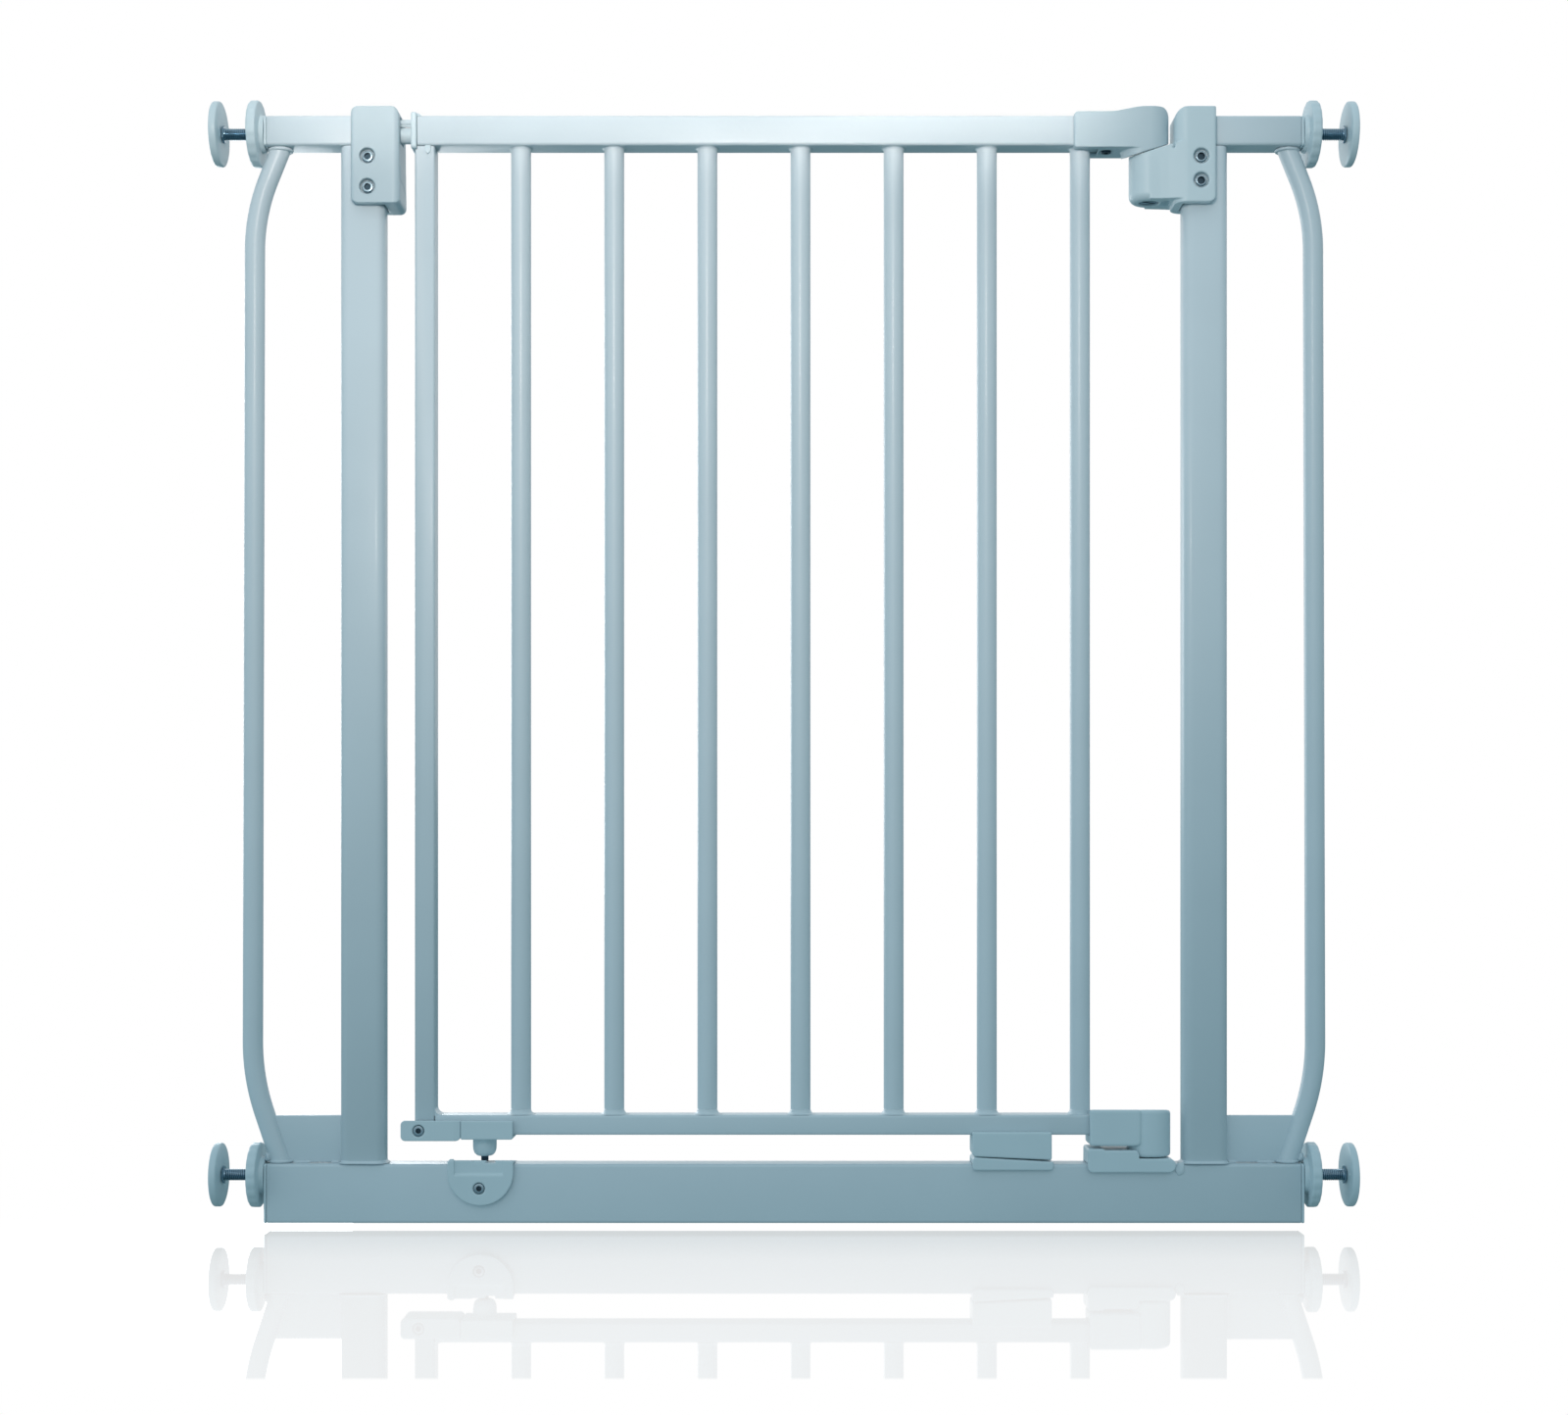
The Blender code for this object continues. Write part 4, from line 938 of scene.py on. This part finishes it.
def make_pivot_pins():
    low, high = box("upper_pivot_pin")
    height = high.z - low.z
    profile = [
        (0, height), (2.9, height), (3.6, height - 0.3), (4, height - 1.1), (4, 2.4), (6.5, 2.4),
        (6.5, 0.9), (6.3, 0.3), (5.7, 0), (0, 0),
    ]
    pin = lathe("pin", profile, (HINGE_X, 0, low.z), Z, 64)
    slot = block("slot", (-8, 8), (-0.8, 0.8), (-2, 1.1))
    turn = Matrix.Rotation(math.radians(28), 4, "Z")
    cut(pin, shift(slot, Matrix.Translation((HINGE_X, 0, low.z)) @ turn))
    finish(pin, "upper_pivot_pin_turned", ZINC, "pivots", "upper_pivot_pin", 30)
    low, high = box("lower_pivot_pin")
    height = high.z - low.z
    profile = [(0, height), (2.2, height), (2.8, height - 0.4), (3, height - 1), (3, 0.5),
               (2.6, 0), (0, 0)]
    pin = lathe("pin", profile, (HINGE_X, 0, low.z), Z, 48)
    finish(pin, "lower_pivot_pin_turned", ZINC, "pivots", "lower_pivot_pin", 30)


def make_spring(node):
    """A compression spring with closed ends, as wide and long as its CAD stand-in."""
    low, high = box(node)
    wire_r = 0.6
    coil_r = (high.z - low.z) / 2 - wire_r
    centre = (high.z + low.z) / 2
    length = high.x - low.x - 2 * wire_r
    coils = 5.5
    count = int(coils * 24)
    rings = []
    for i in range(count + 1):
        t = i / count
        ease = t * t * (3 - 2 * t) * 0.55 + t * 0.45
        angle = math.tau * coils * t
        out = Vector((0, math.cos(angle), math.sin(angle)))
        along = Vector((0.06, -math.sin(angle), math.cos(angle))).normalized()
        side = along.cross(out)
        point = Vector((low.x + wire_r + length * ease, 0, centre)) + out * coil_r
        rings.append([
            point + (out * math.cos(a) + side * math.sin(a)) * wire_r for a in turns(10)
        ])
    obj = finish(skin(node, rings), f"{node}_coil", SPRING, "hinge_arm", node)
    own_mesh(obj)


# Leaf

def make_leaf_tubes():
    box_tube("top_rail", "top_rail_tube", "leaf", 0, 2, LEAF_WALL)
    cap_top = box("latch_end_cap")[1].z
    corner = block("corner", (-260, -247.4), (-12, 12), (cap_top - 25, cap_top))
    box_tube("latch_stile", "latch_stile_tube", "leaf", 2, 1.8, LEAF_WALL, corner)
    box_tube("leaf_bottom_rail", "leaf_bottom_rail_tube", "leaf", 0, 1.8, LEAF_WALL)
    low, high = box("leaf_bottom_rail")
    fillet, tuck = 4.5, 0.6
    base, wall = high.z, box("latch_stile")[1].x
    outline = [(wall - tuck, base - tuck), (wall + fillet, base - tuck)]
    outline += arc((wall + fillet, base + fillet), fillet, 270, 180, 8)
    outline += [(wall - tuck, base + fillet)]
    weld = prism("corner_weld", outline, (low.y + 1.2, high.y - 1.2), 1)
    painted(weld, "stile_corner_weld", "leaf", angle=50)


def make_bars():
    rail_high = box("leaf_bottom_rail")[1]
    top_low, top_high = box("top_rail")
    for number in range(1, 8):
        node = f"bar_{number}"
        low, high = box(node)
        x, radius = (low.x + high.x) / 2, (high.x - low.x) / 2
        outer, inner = (arc((x, 0), r, 0, 360, 56)[:-1] for r in (radius, radius - LEAF_WALL))
        bar = tube_skin(outer, inner, (low.z, high.z), 2, 0.2)
        painted(bar, f"{node}_tube", "leaf", node, 50)
        by_knuckle = number == 7
        flare(f"{node}_foot_weld", x, rail_high.z, radius, 3.4, rail_high.y - 0.4,
              left_only=by_knuckle)
        flare(f"{node}_head_weld", x, top_low.z, radius, 1.4, top_high.y - 0.4, -1,
              left_only=by_knuckle)


def make_latch_end():
    cap_top = box("latch_end_cap")[1].z
    rail_low, rail_high = box("top_rail")
    tongue_z = middle("latch_tongue").z
    outer, inner = -251.5, -247.8
    half = 11.6
    outline = rounded((-half, rail_low.z - 2.4), (half, cap_top), 2)
    body = bevel(prism("cap", outline, (outer, inner), 0), 0.8, 3, 1.0)
    over_rail = rail_high.z + FIT
    lip = [(inner - 1, over_rail), (inner + 3.2, over_rail), (inner + 0.8, cap_top - 0.2),
           (inner - 1, cap_top - 0.2)]
    lip = prism("lip", lip, (-8, 8), 1)
    lug_x, lug_half = -240.2, 1.9
    outline = [(lug_x - lug_half, 727.4), (lug_x - lug_half, 723.6), (lug_x, 721.4),
               (lug_x + lug_half, 723.6), (lug_x + lug_half, 727.4)]
    lug = bevel(prism("lug", outline, (-10.3, -8.9), 1), 0.35, 3)
    finish(lug, "latch_end_lug", PLASTIC, "leaf", angle=50)
    plug = block("plug", (-248.5, -234), (-8.4, 8.4), (rail_low.z + 1.6, rail_high.z - 1.6), 0.6)
    profile = [(0, 0), (2.1, 0), (2.1, 11.4), (1.5, 12.2), (0, 12.4)]
    guide = lathe("guide", profile, (-249, 0, tongue_z + 9), -X, 32)
    web = block("web", (-261, -250), (-0.9, 0.9), (tongue_z + 6, tongue_z + 9.4), 0.4)
    join(body, lip, plug, guide, web)
    cut(body, rod("stem", (-230, 0, tongue_z), -X, 5.5, 30))
    moulded(soften(body, 0.26, 3), "latch_end_cap", "leaf")
    low, high = box("latch_tongue")
    reach, r = high.x - low.x, (high.z - low.z) / 2
    profile = [(0, reach)]
    for degrees in (12, 24, 36, 48, 60, 72, 82, 90):
        a = math.radians(degrees)
        profile.append((r * math.sin(a), reach - r * 0.72 * (1 - math.cos(a))))
    profile += [(r, 16.3), (r - 0.7, 16), (r - 0.7, 14), (3, 14), (3, 0), (0, 0)]
    tongue = lathe("tongue", profile, (high.x, 0, tongue_z), -X, 56)
    moulded(tongue, "latch_tongue", "leaf", 40)


def make_foot():
    low, high = box("foot_clamp")
    front = low.y
    stile_low, stile_high = box("latch_stile")
    rail_under = box("leaf_bottom_rail")[0].z - FIT
    half = stile_high.y + FIT
    corner = 3.2
    outline = rounded((low.x, low.z), (high.x, high.z), (corner, 0, corner, corner))
    body = prism("clamp", outline, (low.y, high.y), 1)
    cut(body, falling_top(low.y, high.y, high.z, 3.4, (low.x - 1, high.x + 1)))
    bevel(body, 1.2, 4, 0.9)
    nose, past = high.x - 4.4, high.x + 1
    plan = [(nose, front - 3), (past, front - 3), (past, front + 1.1), (nose, front)]
    shave = prism("shave", plan, (low.z - 1, high.z + 1), 2)
    room = block("room", (stile_low.x - FIT, -200), (-half, half), (rail_under, 90))
    cut(body, shave, room)
    node = "foot_clamp_screw"
    cut(body, small_seat(node, front))
    moulded(soften(body, 0.34, 4), "foot_clamp", "leaf")
    socket_screw(node, 3.5, 1.7, "leaf")
    low, high = box("foot_sleeve")
    bottom = 56.8
    outline = rounded((low.x, bottom), (high.x, high.z), (1.2, 1.2, 0, 0))
    sleeve = prism("sleeve", outline, (low.y, high.y), 1)
    cut(sleeve, falling_top(low.y, high.y, high.z, 3.4, (low.x - 1, high.x + 1)))
    bevel(sleeve, 1.1, 4, 0.9)
    pin_low, pin_high = box("foot_pin")
    pin_x = (pin_low.x + pin_high.x) / 2
    depth = bottom - low.z
    profile = [(0, 0), (4.4, 0), (5.6, 0.5), (7, 2), (7.8, 4.2), (8, 6.5), (8, depth),
               (8.8, depth + 1.2), (0, depth + 1.2)]
    join(sleeve, lathe("boss", profile, (pin_x, 0, low.z), Z, 64))
    room = block("room", (low.x - 5, high.x + 5), (-half, half), (rail_under, 90))
    cut(sleeve, room, rod("bore", (pin_x, 0, 40), Z, 2.8, 30))
    moulded(soften(sleeve, 0.34, 4), "foot_sleeve", "leaf")
    r, height = (pin_high.x - pin_low.x) / 2, pin_high.z - pin_low.z
    profile = [(0, height), (r - 0.4, height), (r, height - 0.4), (r, 0.7), (r - 0.25, 0.2),
               (r - 0.8, 0), (0, 0)]
    pin = lathe("pin", profile, (pin_x, 0, pin_low.z), Z, 40)
    finish(pin, "foot_pin_turned", DARK, "leaf", "foot_pin", 30)


# Wall spindles

def clamped(value):
    return min(1.0, max(0.0, value))


def threaded(foot, axis, start, end, total):
    """A right-hand threaded rod; the thread runs from start to end along its length."""
    place = turn_to(axis, foot)
    deep = 0.5 * PITCH
    spacing = PITCH / 7
    levels = [0.0]
    while levels[-1] + spacing < total:
        levels.append(levels[-1] + spacing)
    levels.append(total)
    rings = []
    for level in levels:
        fade = clamped((level - start) / PITCH) * clamped((end - level) / PITCH)
        chamfer = min(level, total - level)
        ring = []
        for angle in turns(28):
            phase = (level / PITCH - angle / math.tau) % 1.0
            height = clamped(abs(2 * phase - 1) * 1.9 - 0.15)
            r = THREAD_R - deep * (1 - height) * fade
            if chamfer < 0.9:
                r = min(r, THREAD_R - deep - 0.1 + chamfer)
            ring.append(place @ Vector((r * math.cos(angle), r * math.sin(angle), level)))
        rings.append(ring)
    return skin("rod", rings)


def make_spindles():
    for level in ("upper", "lower"):
        for side, sign in SIDES:
            make_spindle(f"{level}_{side}", sign, spindle_height(level))


def make_spindle(tag, sign, z):
    axis = X * sign
    node = f"threaded_rod_{tag}"
    low, high = box(node)
    pad_low, pad_high = box(f"wall_pad_{tag}")
    start, pad_inner = (low.x, pad_low.x) if sign > 0 else (high.x, pad_high.x)
    collar = abs(pad_inner - start) - 0.3
    body = f"spindle_{tag}"
    bar = threaded((start, 0, z), axis, 2, collar - 1.6, high.x - low.x)
    nut = prism("nut", hexagon((high.z - low.z) / 2), (collar - 1.4, collar), 2)
    join(bar, shift(nut, turn_to(axis, (start, 0, z))))
    finish(bar, f"{node}_thread", ZINC, body, node, 28)
    make_pad(tag, body, (pad_inner, 0, z), axis)
    make_wheel(tag, sign, z)


def make_pad(tag, body, foot, axis):
    """A wall pad: a round cup whose face has four ring-shaped ribs."""
    node = f"wall_pad_{tag}"
    low, high = box(node)
    thick, r = high.x - low.x, (high.z - low.z) / 2
    sunk, edge = thick - 0.9, 1.2
    profile = [(0, sunk), (r * 0.30, sunk)]
    for k in range(4):
        inner = r * (0.30 + 0.14 * k)
        profile += [(inner, thick - 0.35), (inner + r * 0.09, thick - 0.35),
                    (inner + r * 0.095, sunk), (inner + r * 0.135, sunk)]
    profile += [(r - edge - 0.4, thick - 0.1)]
    profile += [on_circle((r - edge, thick - edge), edge, d) for d in (90, 70, 50, 30, 12, 0)]
    profile += [(r, 1.1), (r - 0.3, 0.35), (r - 1.1, 0), (9, 0), (7.4, 0.1), (4.4, 0.2), (4.3, 2),
                (0, 2)]
    pad = moulded(lathe("pad", profile, foot, axis, 96), node, body, 50)
    pad.data.materials.append(PAD_FACE)
    for polygon in pad.data.polygons:
        offset = polygon.center / MM - Vector(foot)
        if abs(offset.x) > thick - 1.0 and math.hypot(offset.y, offset.z) < r * 0.87:
            polygon.material_index = 1


def make_wheel(tag, sign, z):
    """A hand wheel: a thick rim with shallow finger scallops, a dished inner side and a hub."""
    node = f"hand_wheel_{tag}"
    low, high = box(node)
    start = low.x if sign > 0 else high.x
    width, r = high.x - low.x, (high.z - low.z) / 2
    rim, bore, lobes = width - 6.6, 4.3, 18

    def scallop(angle, radius):
        if radius < r * 0.8:
            return radius
        return radius - 0.38 * (0.5 - 0.5 * math.cos(angle * lobes)) ** 2

    profile = [
        (bore, width), (9, width), (9.6, width - 0.3), (10.4, width - 0.8),
        (r - 5, width - 0.8), (r - 4.2, width - 0.2),
    ]
    edge = 1.8
    profile += arc((r - edge, width - edge), edge, 90, 0, 5)
    edge = 1.2
    profile += [on_circle((r - edge, rim + edge), edge, -d) for d in (0, 22, 45, 68, 90)]
    profile += [(14, rim), (12.6, rim - 0.4), (12, 0.6), (11.4, 0), (bore, 0)]
    wheel = lathe("wheel", profile, (start, 0, z), X * sign, 144, scallop)
    moulded(wheel, node, f"wheel_{tag}", 45)


# Stage

def make_camera():
    camera = bpy.data.cameras.new("camera")
    camera.sensor_width = 36
    camera.lens = 54.13
    camera.shift_y = 0.0974
    camera.clip_start = 0.01
    camera.clip_end = 50
    obj = bpy.data.objects.new("camera", camera)
    obj.location = (0, -1.6, 0.245)
    obj.rotation_euler = (math.pi / 2, 0, 0)
    SCENE.collection.objects.link(obj)
    SCENE.camera = obj


def soft_panel(name, place, size, power, colour, spread_tan=None, heading=0):
    """A soft panel that faces the gate's back, turned by heading; spread_tan grids its beam."""
    light = bpy.data.lights.new(name, "AREA")
    light.shape = "RECTANGLE"
    light.size, light.size_y = size
    light.energy = power
    light.color = colour
    if spread_tan:
        light.spread = 2 * math.atan(spread_tan)
    obj = bpy.data.objects.new(name, light)
    obj.location = place
    obj.rotation_euler = (math.radians(90), 0, math.radians(heading))
    SCENE.collection.objects.link(obj)


def make_lights():
    warm = (0.90, 0.80, 0.745)
    soft_panel("key", (-0.13, -1.152, 0.85), (0.30, 0.16), 1.50, warm, 0.85)
    soft_panel("rail_strip_left", (-0.1725, -0.4, 0.757), (0.375, 0.03), 0.027, warm, 0.15)
    soft_panel("rail_strip_right", (0.115, -0.4, 0.757), (0.20, 0.03), 0.027, warm, 0.15)
    soft_panel("back_fill", (-0.9, 1.3, 0.6), (0.8, 0.8), 7, (0.95, 0.98, 1.0), heading=215)


def math_node(tree, operation, number=None):
    """A Math node; number, if there is one, is its second input."""
    node = add_node(tree, "ShaderNodeMath", operation=operation)
    if number is not None:
        node.inputs[1].default_value = number
    return node


def make_world():
    """A backdrop that is white to look at and in mirrors; the light from round about is cool, and
    dimmer from below and the right."""
    world = bpy.data.worlds.new("studio")
    world.use_nodes = True
    tree = world.node_tree
    tree.nodes.clear()
    place = add_node(tree, "ShaderNodeTexCoord")
    parts = add_node(tree, "ShaderNodeSeparateXYZ")
    tilt = math_node(tree, "MULTIPLY_ADD", -0.52)
    near = math_node(tree, "MULTIPLY_ADD", -0.35)
    rise = add_node(tree, "ShaderNodeMapRange")
    rise.inputs["From Min"].default_value = -1.0
    tint = add_node(tree, "ShaderNodeMix", data_type="RGBA")
    tint.inputs[6].default_value = (0.085, 0.165, 0.182, 1)
    tint.inputs[7].default_value = (0.445, 0.62, 0.705, 1)
    lit = add_node(tree, "ShaderNodeBackground")
    seen = add_node(tree, "ShaderNodeBackground", Color=(1, 1, 1, 1), Strength=1.0)
    path = add_node(tree, "ShaderNodeLightPath")
    above = math_node(tree, "GREATER_THAN", 0.0)
    mirrored = math_node(tree, "MULTIPLY")
    white = math_node(tree, "MAXIMUM")
    mix = add_node(tree, "ShaderNodeMixShader")
    out = add_node(tree, "ShaderNodeOutputWorld")
    wire(
        tree,
        (place, "Generated", parts, 0), (parts, "X", tilt, 0), (parts, "Z", tilt, 2),
        (parts, "Y", near, 0), (tilt, 0, near, 2), (near, 0, rise, "Value"), (rise, 0, tint, 0),
        (tint, 2, lit, "Color"), (parts, "Z", above, 0), (above, 0, mirrored, 0),
        (path, "Is Glossy Ray", mirrored, 1), (mirrored, 0, white, 0),
        (path, "Is Camera Ray", white, 1), (white, 0, mix, 0), (lit, 0, mix, 1), (seen, 0, mix, 2),
        (mix, 0, out, "Surface"),
    )
    SCENE.world = world


def make_floor():
    """A white floor, just under the rail, that mirrors the gate faintly and less with distance."""
    maker = bmesh.new()
    bmesh.ops.create_grid(maker, x_segments=1, y_segments=1, size=6000)
    floor = new_object("floor", maker)
    floor.location = (0, 0, cad_low.z - 3.9 * MM)
    WORK.objects.unlink(floor)
    SCENE.collection.objects.link(floor)
    material = bpy.data.materials.new("studio_floor")
    material.use_nodes = True
    tree = material.node_tree
    tree.nodes.clear()
    white = add_node(tree, "ShaderNodeEmission", Color=(1, 1, 1, 1), Strength=1.0)
    clear = add_node(tree, "ShaderNodeBsdfTransparent")
    mirror = add_node(tree, "ShaderNodeBsdfGlossy", Color=(1, 1, 1, 1), Roughness=0.02)
    path = add_node(tree, "ShaderNodeLightPath")
    place = add_node(tree, "ShaderNodeTexCoord")
    parts = add_node(tree, "ShaderNodeSeparateXYZ")
    reach = add_node(tree, "ShaderNodeMapRange")
    reach.inputs["From Min"].default_value = 0.471
    reach.inputs["From Max"].default_value = 0.0
    distance = math_node(tree, "ABSOLUTE")
    ramp = add_node(tree, "ShaderNodeValToRGB")
    stops = ((0.0, 0.0), (0.012, 0.19), (0.40, 0.20), (0.72, 0.25), (0.95, 0.40), (1.0, 0.42))
    while len(ramp.color_ramp.elements) < len(stops):
        ramp.color_ramp.elements.new(0.5)
    for element, (position, value) in zip(ramp.color_ramp.elements, stops):
        element.position = position
        element.color = (value, value, value, 1)
    shine = add_node(tree, "ShaderNodeMixShader")
    show = add_node(tree, "ShaderNodeMixShader")
    out = add_node(tree, "ShaderNodeOutputMaterial")
    wire(
        tree,
        (place, "Object", parts, 0), (parts, "Y", distance, 0), (distance, 0, reach, "Value"),
        (reach, 0, ramp, 0), (ramp, 0, shine, 0), (white, 0, shine, 1), (mirror, 0, shine, 2),
        (path, "Is Camera Ray", show, 0), (clear, 0, show, 1), (shine, 0, show, 2),
        (show, 0, out, "Surface"),
    )
    floor.data.materials.append(material)


def make_gate():
    make_frame_tubes()
    make_side_tubes()
    make_gussets()
    make_post_welds()
    make_tube_caps()
    make_keeper_housing()
    make_lower_keeper()
    make_rest_pair()
    make_hinge_bracket()
    make_upper_knuckle()
    make_lower_knuckle()
    make_lower_seat()
    make_weld_lumps()
    make_pivot_pins()
    make_spring("upper_slide_spring")
    make_spring("lower_slide_spring")
    make_leaf_tubes()
    make_bars()
    make_latch_end()
    make_foot()
    make_spindles()


make_gate()
make_camera()
make_lights()
make_world()
make_floor()
SCENE.view_settings.view_transform = "Standard"
SCENE.view_settings.look = "None"
